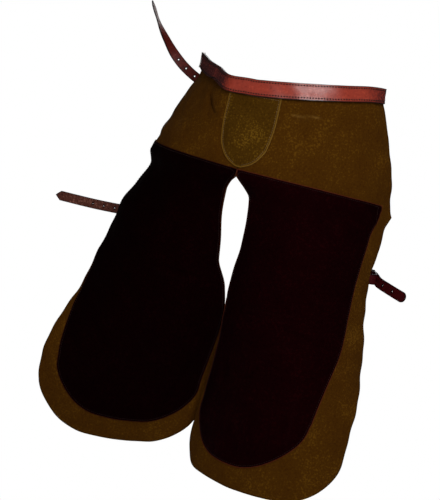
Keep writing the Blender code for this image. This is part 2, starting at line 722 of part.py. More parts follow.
def straps():
    """The waist strap and the two leg straps, each with its buckle and the billet that holds it."""
    thick = STRAP_THICK
    top = [seat(a, float(waistline(a)) + 0.001, thick, 1) for a in (0.205, 0.225, 0.245, 0.256)]
    lead = top + [
        (0.2035, 0.022, 0.038, 0), (0.1960, 0.052, 0.030, 0), (0.1740, 0.086, 0.016, 0),
        (0.1300, 0.114, 0.002, 0), (0.0700, 0.131, -0.006, 0), (0.0050, 0.138, -0.009, 0),
        (-0.0400, 0.1360, -0.009, 0),
    ]
    tail = [
        (-0.160, 0.1060, -0.004, 0), (-0.2150, 0.0920, 0.011, 2), (-0.2540, 0.0850, 0.032, 8),
        (-0.2820, 0.0780, 0.056, 24), (-0.3030, 0.0700, 0.082, 50), (-0.3210, 0.0640, 0.107, 70),
        (-0.3350, 0.0580, 0.132, 80), (-0.3480, 0.0540, 0.158, 86),
    ]
    strap("waist_strap", lead, WAIST_BUCKLE, WAIST_ALONG, tail, pointed(STRAP_WIDTH, 0.012), 7, 0.0254, 1)
    buckle("waist", WAIST_BUCKLE, WAIST_ALONG)
    ends = [seat(-a, float(waistline(a)) + 0.001, BILLET_THICK, 1) for a in (0.256, 0.245, 0.225, 0.205)]
    rest = [(-0.1480, 0.0990, -0.006, 0), (-0.1660, 0.0830, 0.002, 0), (-0.1780, 0.0600, 0.026, 0)]
    billet("waist_billet", WAIST_BUCKLE, WAIST_ALONG, rest + ends)

    lead = [seat(-a, 0.298, thick + 0.0004, 1) for a in (0.150, 0.130, 0.112)]
    lead += [
        (-0.0840, -0.1080, -0.291, 0), (-0.0760, -0.0800, -0.291, 0), (-0.0720, -0.0350, -0.290, 0),
        (-0.0780, 0.0150, -0.290, 0), (-0.0980, 0.0580, -0.290, 0), (-0.1350, 0.0850, -0.290, 0),
        (-0.1700, 0.0930, -0.290, 0),
    ]
    tail = [
        (-0.2640, 0.0430, -0.291, 0), (-0.2860, 0.0340, -0.292, 0), (-0.3200, 0.0260, -0.294, 0),
        (-0.3750, 0.0200, -0.295, 0), (-0.4640, 0.0150, -0.294, 0),
    ]
    strap("leg_strap_left", lead, LEFT_BUCKLE, LEFT_ALONG, tail, pointed(STRAP_WIDTH, 0.012), 6, 0.0254, 1)
    buckle("leg_left", LEFT_BUCKLE, LEFT_ALONG)
    rest = [(-0.2520, 0.0400, -0.290, 0), (-0.2570, 0.0250, -0.290, 0)]
    rest += [seat(-a, 0.300, BILLET_THICK + 0.0024, 1) for a in (0.304, 0.290, 0.272)]
    billet("leg_billet_left", LEFT_BUCKLE, LEFT_ALONG, rest)

    lead = [seat(a, 0.306, thick, -1, -1) for a in (0.130, 0.110, 0.092)]
    lead += [
        (0.0720, -0.1100, -0.306, 0), (0.0640, -0.0800, -0.306, 0), (0.0600, -0.0350, -0.306, 0),
        (0.0680, 0.0150, -0.306, 0), (0.0920, 0.0580, -0.306, 0), (0.1350, 0.0830, -0.306, 0),
        (0.1780, 0.0860, -0.306, 0),
    ]
    tail = [(0.2740, 0.0300, -0.317, 0), (0.2950, 0.0200, -0.323, 0), (0.3170, 0.0120, -0.329, 0), (0.3360, 0.0060, -0.3340, 0)]
    strap("leg_strap_right", lead, RIGHT_BUCKLE, RIGHT_ALONG, tail, rounded(STRAP_WIDTH), 3, 0.0254, -1)
    buckle("leg_right", RIGHT_BUCKLE, RIGHT_ALONG)
    rest = [(0.2650, 0.0250, -0.310, 0), (0.2700, 0.0100, -0.311, 0)]
    rest += [seat(a, 0.312, BILLET_THICK + 0.0046, -1) for a in (0.314, 0.298, 0.280)]
    billet("leg_billet_right", RIGHT_BUCKLE, RIGHT_ALONG, rest)


start()
cloth()
belt()
straps()
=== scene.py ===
# %% [markdown]
# # A farrier apron in leather
#
# A farrier wears this apron while shoeing horses: two flaps of brown suede cover the thighs, and a
# dark smooth leather patch on each takes the wear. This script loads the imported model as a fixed
# frame and puts the finished surfaces on it: thin leather sheets, stitched seams, straps and buckles.
#
# Left and right are as seen from the front. Every flat piece is drawn as it is cut, in `across`
# (distance from the centre line, negative on the left) and `drop` (distance below the waistline),
# and one function hangs it in the air. That keeps patches, seams and creases together.

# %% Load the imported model
import math

import bpy
import numpy as np
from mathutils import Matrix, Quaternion, Vector
from mathutils.geometry import delaunay_2d_cdt


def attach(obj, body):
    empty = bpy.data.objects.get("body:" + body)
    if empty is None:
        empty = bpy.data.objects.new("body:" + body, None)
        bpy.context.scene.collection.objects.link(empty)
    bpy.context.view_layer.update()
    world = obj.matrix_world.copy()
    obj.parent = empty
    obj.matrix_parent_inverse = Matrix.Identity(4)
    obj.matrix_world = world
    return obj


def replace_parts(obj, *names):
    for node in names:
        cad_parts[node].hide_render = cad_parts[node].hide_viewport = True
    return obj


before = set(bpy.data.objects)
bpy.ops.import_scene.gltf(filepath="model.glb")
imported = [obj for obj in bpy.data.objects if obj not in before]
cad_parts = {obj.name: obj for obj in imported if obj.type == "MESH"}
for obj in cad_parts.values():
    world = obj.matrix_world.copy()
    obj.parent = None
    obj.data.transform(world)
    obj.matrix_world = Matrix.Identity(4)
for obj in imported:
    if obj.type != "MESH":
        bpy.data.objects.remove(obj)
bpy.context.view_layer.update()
print("nodes in the frame:", len(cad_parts))

# %% [markdown]
# ## Camera, light and backdrop
#
# The photograph is a studio cut-out on white, taken with a long lens a little to the apron's right
# and tilted by 12 degrees. The camera repeats that. The world is white where the camera sees it and
# dimmer where it lights the leather, because dark leather loses its colour in bright even light.

# %% Camera
EYE = Vector((0.7511, -2.1019, -0.1487))
AIM = Vector((0.0009, -0.1474, -0.3135))
ROLL = math.radians(12)
LENS = 79.58

camera = bpy.data.objects.new("camera", bpy.data.cameras.new("camera"))
camera.data.lens = LENS
camera.data.sensor_width = 36
back = (EYE - AIM).normalized()
camera.location = EYE
camera.rotation_mode = "QUATERNION"
camera.rotation_quaternion = Quaternion(back, ROLL) @ back.to_track_quat("Z", "Y")
bpy.context.scene.collection.objects.link(camera)
bpy.context.scene.camera = camera
bpy.context.scene.view_settings.view_transform = "Standard"
print("camera stands", round((EYE - AIM).length, 2), "m from what it looks at")


# %% Lights
def softbox(name, spot, aim, size, power):
    """A square soft light at a spot, turned to what it lights."""
    lamp = bpy.data.lights.new(name, "AREA")
    lamp.size = size
    lamp.energy = power
    thing = bpy.data.objects.new(name, lamp)
    thing.location = spot
    thing.rotation_mode = "QUATERNION"
    thing.rotation_quaternion = (Vector(spot) - Vector(aim)).to_track_quat("Z", "Y")
    bpy.context.scene.collection.objects.link(thing)
    return thing


softbox("key_light", (0.95, -1.75, 0.85), (0.05, -0.05, -0.05), 1.0, 36)
softbox("gloss_card", (1.55, -2.10, 0.12), (0.08, -0.12, 0.0), 0.50, 9)
left_fill = softbox("left_fill", (-1.5, -1.8, 0.3), (0, 0, -0.3), 1.2, 6)
left_fill.visible_glossy = False
softbox("back_light", (-0.6, 2.0, 0.9), (0, 0, -0.2), 1.4, 16)

# %% [markdown]
# A white world would also light the apron evenly from all sides, and dark leather loses its colour
# in such light. So the world is white only where the camera sees it. It lights the apron dimly, and
# shines on gloss more dimly still, which keeps a grey veil off the belt. The floor is white paper
# treated in the same way.

# %% World and floor
AMBIENT = 0.24
AMBIENT_ON_GLOSS = AMBIENT * 0.15
FLOOR_Z = -1.02
FLOOR_HALF = 6
PAPER = (0.75, 0.75, 0.75, 1)


def white_for_camera(tree, seen, lit, output):
    """The camera sees one shader; everything else is lit by the other."""
    rays = tree.nodes.new("ShaderNodeLightPath")
    mix = tree.nodes.new("ShaderNodeMixShader")
    tree.links.new(rays.outputs["Is Camera Ray"], mix.inputs["Fac"])
    tree.links.new(lit.outputs[0], mix.inputs[1])
    tree.links.new(seen.outputs[0], mix.inputs[2])
    tree.links.new(mix.outputs[0], output.inputs["Surface"])


world = bpy.data.worlds.new("white_studio")
world.use_nodes = True
sky = world.node_tree
sky.nodes.clear()
seen_white = sky.nodes.new("ShaderNodeBackground")
lit_grey = sky.nodes.new("ShaderNodeBackground")
seen_white.inputs["Color"].default_value = (1, 1, 1, 1)
lit_grey.inputs["Color"].default_value = (1, 1, 1, 1)
ambient = sky.nodes.new("ShaderNodeMapRange")
ambient.inputs["To Min"].default_value = AMBIENT
ambient.inputs["To Max"].default_value = AMBIENT_ON_GLOSS
sky.links.new(sky.nodes.new("ShaderNodeLightPath").outputs["Is Glossy Ray"], ambient.inputs["Value"])
sky.links.new(ambient.outputs["Result"], lit_grey.inputs["Strength"])
white_for_camera(sky, seen_white, lit_grey, sky.nodes.new("ShaderNodeOutputWorld"))
bpy.context.scene.world = world

floor_mesh = bpy.data.meshes.new("floor")
floor_corners = [(x * FLOOR_HALF, y * FLOOR_HALF, FLOOR_Z) for x, y in ((-1, -1), (1, -1), (1, 1), (-1, 1))]
floor_mesh.from_pydata(floor_corners, [], [(0, 1, 2, 3)])
floor = bpy.data.objects.new("floor", floor_mesh)
bpy.context.scene.collection.objects.link(floor)
paper = bpy.data.materials.new("white_paper")
paper.use_nodes = True
paper_tree = paper.node_tree
paper_tree.nodes.clear()
glow = paper_tree.nodes.new("ShaderNodeEmission")
matt = paper_tree.nodes.new("ShaderNodeBsdfDiffuse")
matt.inputs["Color"].default_value = PAPER
white_for_camera(paper_tree, glow, matt, paper_tree.nodes.new("ShaderNodeOutputMaterial"))
floor_mesh.materials.append(paper)
print("floor", -FLOOR_Z, "m below the waist")

# %% [markdown]
# ## The cut
#
# These are the paper patterns. The sizes repeat those of the solids, so that every finished sheet
# lies in the space its solid keeps. A table is better than a list of outline points: a row says
# how wide the leather is at one drop, and a smooth curve joins the rows.

# %% Leather and sizes
SUEDE = 0.0022
PATCH = 0.0018
SEAM = 0.0003
BELT_WIDTH = 0.032
BELT_THICK = 0.0045
BELT_HALF = 0.258
BELT_LIFT = SUEDE + SEAM + PATCH + 0.0008
PATCH_LIFT = SUEDE + SEAM
SCOOP = 0.034
SCOOP_SHAPE = 1.5
STRAP_WIDTH = 0.021
STRAP_THICK = 0.0028
BILLET_THICK = 0.0022
SEAT_GAP = 0.0016
WIRE = 0.0020
TONGUE_WIRE = 0.0014
HEM = 0.752
# The rounded hem: inner corner, outer corner, how much its corners rise
HEM_CUT = {"left": (0.086, 0.136, 0.022), "right": (0.072, 0.092, 0.015)}
SIGN = {"left": -1.0, "right": 1.0}
CROTCH = 0.171
PATCH_TOP = 0.156
PATCH_TOP_OUTER = 0.168
PATCH_HEM = 0.709
PATCH_INNER = 0.0018
# how much wider the inner border of suede is at the hem
LOW_MARGIN = 0.012
PATCH_CORNER_IN = 0.090
PATCH_CORNER_OUT = 0.110
PATCH_SAG = 0.026

# drop below the waistline, outer edge of the yoke
YOKE_SIDE = ((-0.027, 0.258), (0.020, 0.282), (0.090, 0.312), (0.150, 0.332), (0.188, 0.346))
# drop, outer edge of the leg, from the hip corner down
LEG_SIDE = (
    (0.188, 0.346), (0.208, 0.331), (0.245, 0.320), (0.300, 0.318), (0.380, 0.327),
    (0.460, 0.340), (0.540, 0.352), (0.640, 0.356), (0.748, 0.352),
)
# drop, inner edge of the leg, from the crotch down
INNER_SIDE = (
    (0.171, 0.000), (0.184, 0.012), (0.204, 0.020), (0.240, 0.019),
    (0.340, 0.013), (0.480, 0.008), (0.640, 0.006), (0.748, 0.006),
)
# drop, width of suede outside the dark patch, left and right
PATCH_BORDER = (
    (0.150, 0.008, 0.030), (0.240, 0.008, 0.041), (0.340, 0.008, 0.048),
    (0.440, 0.008, 0.062), (0.540, 0.028, 0.085), (0.640, 0.046, 0.088),
)
BORDER_COLUMN = {"left": 1, "right": 2}
# drop, half width of the rounded patch over the centre seam
CENTRE_PATCH = (
    (0.010, 0.052), (0.060, 0.053), (0.108, 0.048), (0.133, 0.036), (0.147, 0.020), (0.1525, 0.006),
)
print("flap:", HEM, "m long and", LEG_SIDE[-1][1], "m wide")

# %% [markdown]
# ## How it hangs
#
# Worn leather bends in one direction at a time, round the hip and the thigh, much like paper. So
# each side is described by sections at a few drops: where the section starts at the centre line,
# which way it heads, and how far it turns on its way across. Walking along a section from the
# centre gives the place of any point of the cut, and its length stays what was cut.

# %% Sections of the two sides
# drop, x and y at the centre line, first heading, even turn, bend, where the bend is,
# how much higher the row hangs, rise of its outer side per metre, curl at the inner edge
HANG = {
    "right": (
        (0.000, 0.000, -0.130, 0, 62, 13, 0.88, 0.000, 0.035, 0),
        (0.090, 0.000, -0.137, 0, 62, 11, 0.88, -0.001, 0.00, 0),
        (0.146, 0.000, -0.142, 0, 66, 8, 0.86, 0.000, 0.00, 0),
        (0.166, 0.000, -0.142, -1, 69, 7, 0.86, 0.000, 0.00, 0),
        (0.206, 0.006, -0.134, -8, 82, 0, 0.50, 0.000, 0.00, 26),
        (0.250, 0.010, -0.116, -22, 98, 0, 0.50, 0.000, 0.00, 14),
        (0.300, 0.013, -0.0967, -38, 118, 0, 0.50, 0.000, 0.00, 3),
        (0.360, 0.010, -0.0921, -41, 120, 0, 0.50, 0.000, 0.00, 0),
        (0.457, 0.011, -0.0861, -45, 121, 0, 0.50, 0.000, 0.00, 0),
        (0.600, -0.002, -0.0700, -52, 109, 0, 0.50, 0.000, 0.00, 0),
        (0.750, -0.019, -0.0613, -52, 89, 0, 0.50, 0.003, 0.00, 0),
    ),
    "left": (
        (0.000, 0.000, -0.130, 0, 19, 38, 0.19, 0.000, 0.055, 0),
        (0.090, 0.000, -0.137, 0, 52, 14, 0.26, -0.001, 0.075, 0),
        (0.146, 0.000, -0.142, 0, 62, 8, 0.50, 0.000, 0.10, 0),
        (0.166, 0.000, -0.142, -1, 64, 7, 0.50, 0.000, 0.105, 0),
        (0.206, 0.003, -0.134, -6, 79, 0, 0.50, 0.003, 0.09, 20),
        (0.250, 0.005, -0.116, -20, 89, 0, 0.50, 0.006, 0.055, 10),
        (0.300, 0.006, -0.0977, -38, 101, 0, 0.50, 0.008, 0.03, 2),
        (0.345, 0.006, -0.0918, -41, 100, 0, 0.50, 0.012, 0.00, 0),
        (0.400, -0.012, -0.0830, -43, 86, 0, 0.50, 0.016, -0.03, 0),
        (0.457, -0.017, -0.0724, -42, 74, 0, 0.50, 0.017, -0.05, 0),
        (0.600, -0.001, -0.0463, -35, 40, 0, 0.50, 0.020, -0.055, 0),
        (0.750, 0.016, -0.0327, -33, 38, 0, 0.50, 0.019, -0.055, 0),
    ),
}
CURL_FROM = 0.160


def smooth(rows, column, at):
    """A column of a table at any value of its first column, as one curve that never overshoots."""
    knots = np.array([row[0] for row in rows], float)
    values = np.array([row[column] for row in rows], float)
    secants = np.diff(values) / np.diff(knots)
    slopes = np.concatenate([secants[:1], secants])
    before, after = secants[:-1], secants[1:]
    same = before * after > 0
    slopes[1:-1] = np.where(same, 2 * before * after / np.where(same, before + after, 1), 0)
    at = np.clip(at, knots[0], knots[-1])
    i = np.clip(np.searchsorted(knots, at) - 1, 0, len(knots) - 2)
    step = knots[i + 1] - knots[i]
    f = (at - knots[i]) / step
    low = values[i] * (1 + 2 * f) * (1 - f) ** 2 + values[i + 1] * f * f * (3 - 2 * f)
    return low + step * (slopes[i] * f * (1 - f) ** 2 + slopes[i + 1] * f * f * (f - 1))


def outer_edge(drop):
    return np.where(drop < LEG_SIDE[0][0], smooth(YOKE_SIDE, 1, drop), smooth(LEG_SIDE, 1, drop))


def hang(side, across, drop):
    """Where a point of the cut hangs, before any crease. across is counted from the centre line."""
    rows = HANG[side]
    x, y, start, even, bend, where, up, rise, curl = (smooth(rows, i, drop)[:, None] for i in range(1, 10))
    width = np.maximum(outer_edge(drop), 0.2)[:, None]
    samples = (np.arange(24) + 0.5) / 24

    def walk(first, last, curled):
        """The way gone between two places on the section."""
        at = first + (last - first) * samples
        turn = start + even * at / width + bend * (0.5 + 0.5 * np.tanh((at / width - where) / 0.06))
        heading = np.radians(turn - curled * curl * np.clip(1 - at / CURL_FROM, 0, 1) ** 1.5)
        return (last - first)[:, 0] * np.stack([np.cos(heading).mean(1), np.sin(heading).mean(1)])

    middle = np.full((len(across), 1), CURL_FROM)
    way = walk(0 * middle, middle, 0) + walk(middle, across[:, None], 1)
    height = up[:, 0] + rise[:, 0] * across - drop
    return np.stack([SIGN[side] * (x[:, 0] + way[0]), y[:, 0] + way[1], height], 1)


def both(across, drop):
    """hang() for points on either side: across is negative on the left."""
    away = np.abs(across)
    return np.where((across >= 0)[:, None], hang("right", away, drop), hang("left", away, drop))


def outward(across, drop):
    """Unit vectors that point out of the front of the hung cut."""
    e = 0.002
    along = both(across + e, drop) - both(across - e, drop)
    down = both(across, drop + e) - both(across, drop - e)
    normal = np.cross(down, along)
    return normal / np.linalg.norm(normal, axis=1)[:, None]


print("the right flap's knee hangs at", np.round(both(np.array([0.15]), np.array([0.42]))[0], 3))

# %% [markdown]
# ## Creases
#
# Stiff leather doesn't flow like cloth. It keeps a few soft hollows where it has been bent for
# years: across the knees, at the hips and near the hem. They could be simulated or sculpted, but
# then they move whenever a size changes. Here each row of a table is one trough or ridge, no two
# are alike, and they go wherever the cut goes. Free edges also wave a little, and the whole surface
# is never quite even.

# %% Folds and creases
# side, across, drop, lean from upright, half length, half width, depth
FOLDS = (
    ("left", 0.105, 0.060, -30, 0.045, 0.012, -0.0030),
    ("left", 0.170, 0.400, -75, 0.070, 0.016, -0.0028),
    ("left", 0.120, 0.560, 20, 0.110, 0.024, 0.0040),
    ("right", 0.070, 0.420, 80, 0.060, 0.014, -0.0030),
    ("right", 0.200, 0.560, -12, 0.120, 0.026, 0.0040),
    ("right", 0.190, 0.090, 35, 0.050, 0.016, -0.0022),
)
CREASES = (
    ("left", 0.100, 0.052, -54, 0.031, 0.0034, -0.0036),
    ("left", 0.044, 0.084, -4, 0.048, 0.0050, -0.0016),
    ("left", 0.150, 0.105, -40, 0.030, 0.0065, -0.0008),
    ("left", 0.205, 0.060, -20, 0.026, 0.0070, 0.0008),
    ("left", 0.110, 0.385, -82, 0.050, 0.0060, -0.0011),
    ("left", 0.185, 0.440, -70, 0.042, 0.0075, -0.0012),
    ("left", 0.120, 0.470, 78, 0.034, 0.0060, 0.0009),
    ("left", 0.260, 0.520, -35, 0.050, 0.0095, -0.0014),
    ("left", 0.070, 0.620, 14, 0.060, 0.0100, -0.0013),
    ("left", 0.210, 0.665, 42, 0.040, 0.0090, 0.0011),
    ("right", 0.114, 0.410, 94, 0.058, 0.0050, -0.0015),
    ("right", 0.180, 0.436, 80, 0.044, 0.0060, -0.0011),
    ("right", 0.090, 0.455, 100, 0.036, 0.0065, 0.0010),
    ("right", 0.220, 0.385, 66, 0.034, 0.0070, -0.0010),
    ("right", 0.065, 0.545, 8, 0.055, 0.0090, -0.0012),
    ("right", 0.255, 0.600, -26, 0.060, 0.0105, 0.0014),
    ("right", 0.135, 0.655, 36, 0.040, 0.0090, -0.0010),
    ("right", 0.100, 0.040, 70, 0.034, 0.0070, -0.0007),
    ("right", 0.240, 0.125, -48, 0.030, 0.0080, 0.0008),
)
FOLD_BOW = 0.08
SEAM_CLEAR = 0.012


def beside(across, drop, side, at, down, lean, length):
    """How far each point is along a fold and off it, and whether it is on the fold's own side."""
    turn = math.radians(lean)
    dx = across * SIGN[side] - at
    dy = drop - down
    run = dx * math.sin(turn) + dy * math.cos(turn)
    off = dx * math.cos(turn) - dy * math.sin(turn) + FOLD_BOW * run * run / length
    return run, off, across * SIGN[side] > SEAM_CLEAR


print("folds and creases:", len(FOLDS) + len(CREASES))

# %% Waves, and the last word on where a point goes
# height, turns per metre across and down, phase
UNEVEN = ((0.0005, 9.0, 5.0, 0.4), (0.0004, -13.0, 8.0, 2.1), (0.00025, 21.0, -17.0, 4.0))
WAVE_HEIGHT = 0.0011
WAVE_DEPTH = 0.022
HEM_MARGIN = 0.010


def fold_depth(across, drop):
    """How far folds, creases and waves push the cut out (or in, where negative)."""
    depth = np.zeros(len(across))
    for side, at, down, lean, length, width, amount in FOLDS + CREASES:
        run, off, own = beside(across, drop, side, at, down, lean, length)
        fade = np.exp(-((run / length) ** 4) - (off / width) ** 2)
        depth += np.where(own, amount * fade, 0.0)
    for height, turns_across, turns_down, phase in UNEVEN:
        depth += height * np.sin(2 * math.pi * (across * turns_across + drop * turns_down) + phase)
    sign = np.where(across >= 0, 1.0, -1.0)
    free = np.minimum(outer_edge(drop) - np.abs(across), HEM - HEM_MARGIN - drop)
    wave = np.sin(drop * 58 + across * sign * 17 + 1.1 * sign) + 0.7 * np.sin(drop * 127 + across * 31)
    share = np.clip((drop - 0.03) / 0.05, 0, 1) * np.exp(-np.maximum(free, 0) / WAVE_DEPTH)
    return depth + WAVE_HEIGHT * wave * share


def place(across, drop, lift):
    """A point of the cut, hung, folded and moved out by lift."""
    across = np.asarray(across, float)
    drop = np.asarray(drop, float)
    move = fold_depth(across, drop) + lift
    return both(across, drop) + outward(across, drop) * move[:, None]


knee_line = np.linspace(0.35, 0.50, 31)
knee_relief = np.ptp(fold_depth(np.full(31, 0.15), knee_line))
print("over the right knee the leather rises and falls by", round(knee_relief * 1000, 1), "mm")

# %% [markdown]
# Painted shade darkens the troughs of the creases and the suede towards the hem, more on the left
# flap, which gets less light, and anything the leather rubs against leaves it pale. Both could be
# painted by hand. Worked out on the flat cut, point by point, they stay with the creases that cause
# them. They are stored with each sheet as two attributes, one for the painted shade and one named
# `scuff`, and the materials later break them up with noise.

# %% Painted shade and scuffs
# across, drop of both ends, half width, strength
SCUFFS = (
    (0.078, 0.039, 0.130, 0.033, 0.0016, 0.8),
    (0.084, 0.044, 0.110, 0.043, 0.0012, 0.5),
    (0.064, 0.414, 0.164, 0.405, 0.0022, 0.6),
    (0.074, 0.424, 0.150, 0.420, 0.0018, 0.4),
    (0.176, 0.470, 0.120, 0.482, 0.0022, 0.4),
    (0.222, 0.560, 0.236, 0.640, 0.0030, 0.4),
    (0.100, 0.600, 0.112, 0.650, 0.0026, 0.3),
    (-0.150, 0.395, -0.090, 0.402, 0.0020, 0.4),
    (-0.175, 0.520, -0.140, 0.560, 0.0026, 0.3),
    (-0.160, 0.090, -0.205, 0.105, 0.0018, 0.3),
)
HEM_PAINTED_SHADE = {"left": 0.45, "right": 0.20}
CREASE_SHADE_PER_METRE = 300


def distance_to(points, loop):
    """Distance of each point from the nearest side of the loop."""
    loop = np.asarray(loop, float)
    best = np.full(len(points), 1e9)
    for a, b in zip(loop, np.roll(loop, -1, 0)):
        side = b - a
        f = np.clip(((points - a) @ side) / max(side @ side, 1e-18), 0, 1)
        best = np.minimum(best, np.linalg.norm(points - a - f[:, None] * side, axis=1))
    return best


def painted_shade_and_scuff(across, drop):
    """How much painted shade and how much rubbing each point of the cut gets, from 0 to 1."""
    # Painted shade towards the hem, stronger on the left flap, which turns away from the light.
    soil = np.clip((drop - 0.62) / 0.15, 0, 1) * np.where(across < 0, HEM_PAINTED_SHADE["left"], HEM_PAINTED_SHADE["right"])
    # Painted shade along the troughs of the creases, the ones with a negative depth.
    for side, at, down, lean, length, width, amount in CREASES:
        if amount < 0:
            run, off, own = beside(across, drop, side, at, down, lean, length)
            line = np.exp(-((run / length) ** 4) - (off / (width * 0.7)) ** 2)
            soil = np.maximum(soil, np.where(own, min(1.0, -amount * CREASE_SHADE_PER_METRE) * line, 0.0))
    scuff = np.zeros(len(across))
    spots = np.stack([across, drop], 1)
    for x0, y0, x1, y1, width, strength in SCUFFS:
        gone = distance_to(spots, [(x0, y0), (x1, y1)]) / width
        scuff = np.maximum(scuff, strength * np.exp(-(gone**2)))
    return soil, scuff


print("scuffs:", len(SCUFFS))

# %% [markdown]
# ## Outlines
#
# A leather worker cuts round a pattern with a knife, so the outline is one smooth line. It could be
# drawn as a curve object. It is made here as a closed loop of points in the flat, a few millimetres
# apart, because the same loop then gives the mesh, the seam allowance and the area of leather.

# %% Outlines of the waist and the hem
# where the belt bends, how wide and how deep it pulls the yoke down there
BEND_PULL = (-0.058, 0.034, 0.0065)
# where the yoke starts to sink to its right end, how far out that goes on, and by how much
END_PULL = (0.195, 0.063, 0.006)


def waistline(across):
    """Drop of the top of the yoke: cut higher at the sides, and pulled down a little by the belt."""
    across = np.asarray(across, float)
    at, width, depth = BEND_PULL
    pulled = depth * np.exp(-(((across - at) / width) ** 2))
    at, width, depth = END_PULL
    pulled = pulled + depth * np.clip((across - at) / width, 0, 1) ** 2
    return pulled - SCOOP * np.abs(across / BELT_HALF) ** SCOOP_SHAPE


def quarter(centre, radius, first, last, count=26):
    """Points on part of an ellipse, angles in degrees from +across towards +drop."""
    angles = np.radians(np.linspace(first, last, count))
    return [(centre[0] + radius[0] * math.cos(a), centre[1] + radius[1] * math.sin(a)) for a in angles]


def at_drop(rows, drop, column=1):
    return float(smooth(rows, column, drop))


def with_hem(edge_in, edge_out, hem, corner_in, corner_out, sag):
    """The bottom of a flap, from its outer edge round to its inner edge, with rounded corners."""
    out = quarter((edge_out - corner_out, hem - corner_out), (corner_out, corner_out), 0, 90)
    inner = quarter((edge_in + corner_in, hem - corner_in), (corner_in, corner_in), 90, 180)
    middle = [(a, hem) for a in np.linspace(out[-1][0], inner[0][0], 19)[1:-1]]
    half = (edge_out - edge_in) / 2
    bowed = []
    for across, drop in out + middle + inner:
        share = 1 - ((across - edge_in - half) / half) ** 2
        bowed.append((across, drop - sag * (1 - share) * max(0.0, (drop - hem + corner_in) / corner_in)))
    return bowed


print("the yoke's top stands", round(-1000 * float(waistline(-BELT_HALF))), "mm higher at the left side")

# %% Outlines of the flat pieces
EDGE_IN = 0.006


def panel_outline(side):
    """The cut of a leg panel: waist, outer edge, hem, inner edge, crotch, centre seam."""
    points = [(a, float(waistline(a))) for a in np.linspace(SEAM / 2, BELT_HALF, 40)]
    points += [(at_drop(YOKE_SIDE, d), d) for d in np.linspace(-0.018, LEG_SIDE[0][0], 36)]
    corner_in, corner_out, sag = HEM_CUT[side]
    outer = np.linspace(LEG_SIDE[0][0] + 0.003, HEM - corner_out - 0.006, 80)
    points += [(at_drop(LEG_SIDE, d), d) for d in outer]
    points += with_hem(EDGE_IN, at_drop(LEG_SIDE, HEM - corner_out), HEM, corner_in, corner_out, sag)
    inner = np.linspace(HEM - corner_in - 0.006, CROTCH + 0.002, 90)
    points += [(at_drop(INNER_SIDE, d) + SEAM / 2, d) for d in inner]
    return points + [(SEAM / 2, d) for d in np.linspace(CROTCH, 0.005, 34)]


def patch_outline(side):
    """The cut of the dark patch on one leg, inside the panel's outer edge by the width of its border."""
    column = BORDER_COLUMN[side]
    last = at_drop(YOKE_SIDE, PATCH_TOP_OUTER) - at_drop(PATCH_BORDER, PATCH_TOP_OUTER, column)
    top = np.linspace(0.0005, 1.0, 60)
    points = [(f * last, PATCH_TOP + (PATCH_TOP_OUTER - PATCH_TOP) * f) for f in top]
    outer = np.linspace(0.178, PATCH_HEM - PATCH_CORNER_OUT - 0.006, 80)
    rows = [(float(outer_edge(np.array([d]))[0]) - at_drop(PATCH_BORDER, d, column), d) for d in outer]
    points += [(a, d) for a, d in rows if d < 0.180 or d > 0.200]
    low = EDGE_IN + PATCH_INNER + LOW_MARGIN
    points += with_hem(low, rows[-1][0] - 0.001, PATCH_HEM, PATCH_CORNER_IN, PATCH_CORNER_OUT, PATCH_SAG)
    inner = np.linspace(PATCH_HEM - PATCH_CORNER_IN - 0.006, 0.178, 84)
    margin = PATCH_INNER + LOW_MARGIN * np.clip((inner - 0.45) / 0.15, 0, 1)
    points += [(at_drop(INNER_SIDE, d) + m, d) for d, m in zip(inner, margin)]
    return points + [(0.0035, 0.1720), (0.0015, 0.1690), (0.0004, 0.163)]


def centre_outline():
    """The rounded patch over the centre seam."""
    down = np.linspace(CENTRE_PATCH[0][0], CENTRE_PATCH[-1][0], 44)
    right = [(at_drop(CENTRE_PATCH, d), d) for d in down]
    left = [(-a, d) for a, d in right[::-1]]
    return right + left


def flat_area(loop):
    """Area of a closed outline in the flat."""
    a = np.asarray(loop, float)
    b = np.roll(a, -1, 0)
    return abs((a[:, 0] * b[:, 1] - b[:, 0] * a[:, 1]).sum()) / 2


print("a leg panel takes", round(flat_area(panel_outline("right")), 3), "square metres of suede")

# %% [markdown]
# ## From an outline to a sheet
#
# A flat outline is filled with small triangles, 4 mm across, and each point is then hung twice:
# once on the inner face of the leather and once on the outer face. A rim joins the two, so that the
# sheet has a real thickness. A Solidify modifier would do the same with less code, but here the
# outer face can be given a crown or a stitched groove of its own. Every point also keeps how far it
# is from the cut edge, in a mesh attribute named `edge`, which the materials read to darken or wear
# the leather there.


# %% Fill an outline
def inside(points, loop):
    """Which of the points are inside the closed loop."""
    loop = np.asarray(loop, float)
    hit = np.zeros(len(points), bool)
    x, y = points[:, 0], points[:, 1]
    for a, b in zip(loop, np.roll(loop, -1, 0)):
        spans = (a[1] > y) != (b[1] > y)
        height = b[1] - a[1] if b[1] != a[1] else 1e-12
        hit ^= spans & (x < (b[0] - a[0]) * (y - a[1]) / height + a[0])
    return hit


def divided(loop, pitch):
    """The loop with points added, so that no side is longer than the pitch."""
    points = []
    for a, b in zip(loop, loop[1:] + loop[:1]):
        count = max(1, math.ceil(math.dist(a, b) / pitch))
        points += [(a[0] + (b[0] - a[0]) * i / count, a[1] + (b[1] - a[1]) * i / count) for i in range(count)]
    return points


def grid_within(outer, pitch):
    """Points in staggered rows inside a loop, clear of its edge."""
    low, high = outer.min(0), outer.max(0)
    columns = np.arange(low[0] + pitch / 2, high[0], pitch)
    rows = np.arange(low[1] + pitch / 2, high[1], pitch * 0.87)
    grid = np.array([(a + pitch / 2 * (i % 2), d) for i, d in enumerate(rows) for a in columns])
    grid = grid[inside(grid, outer)]
    return [tuple(p) for p in grid[distance_to(grid, outer) > 0.45 * pitch]]


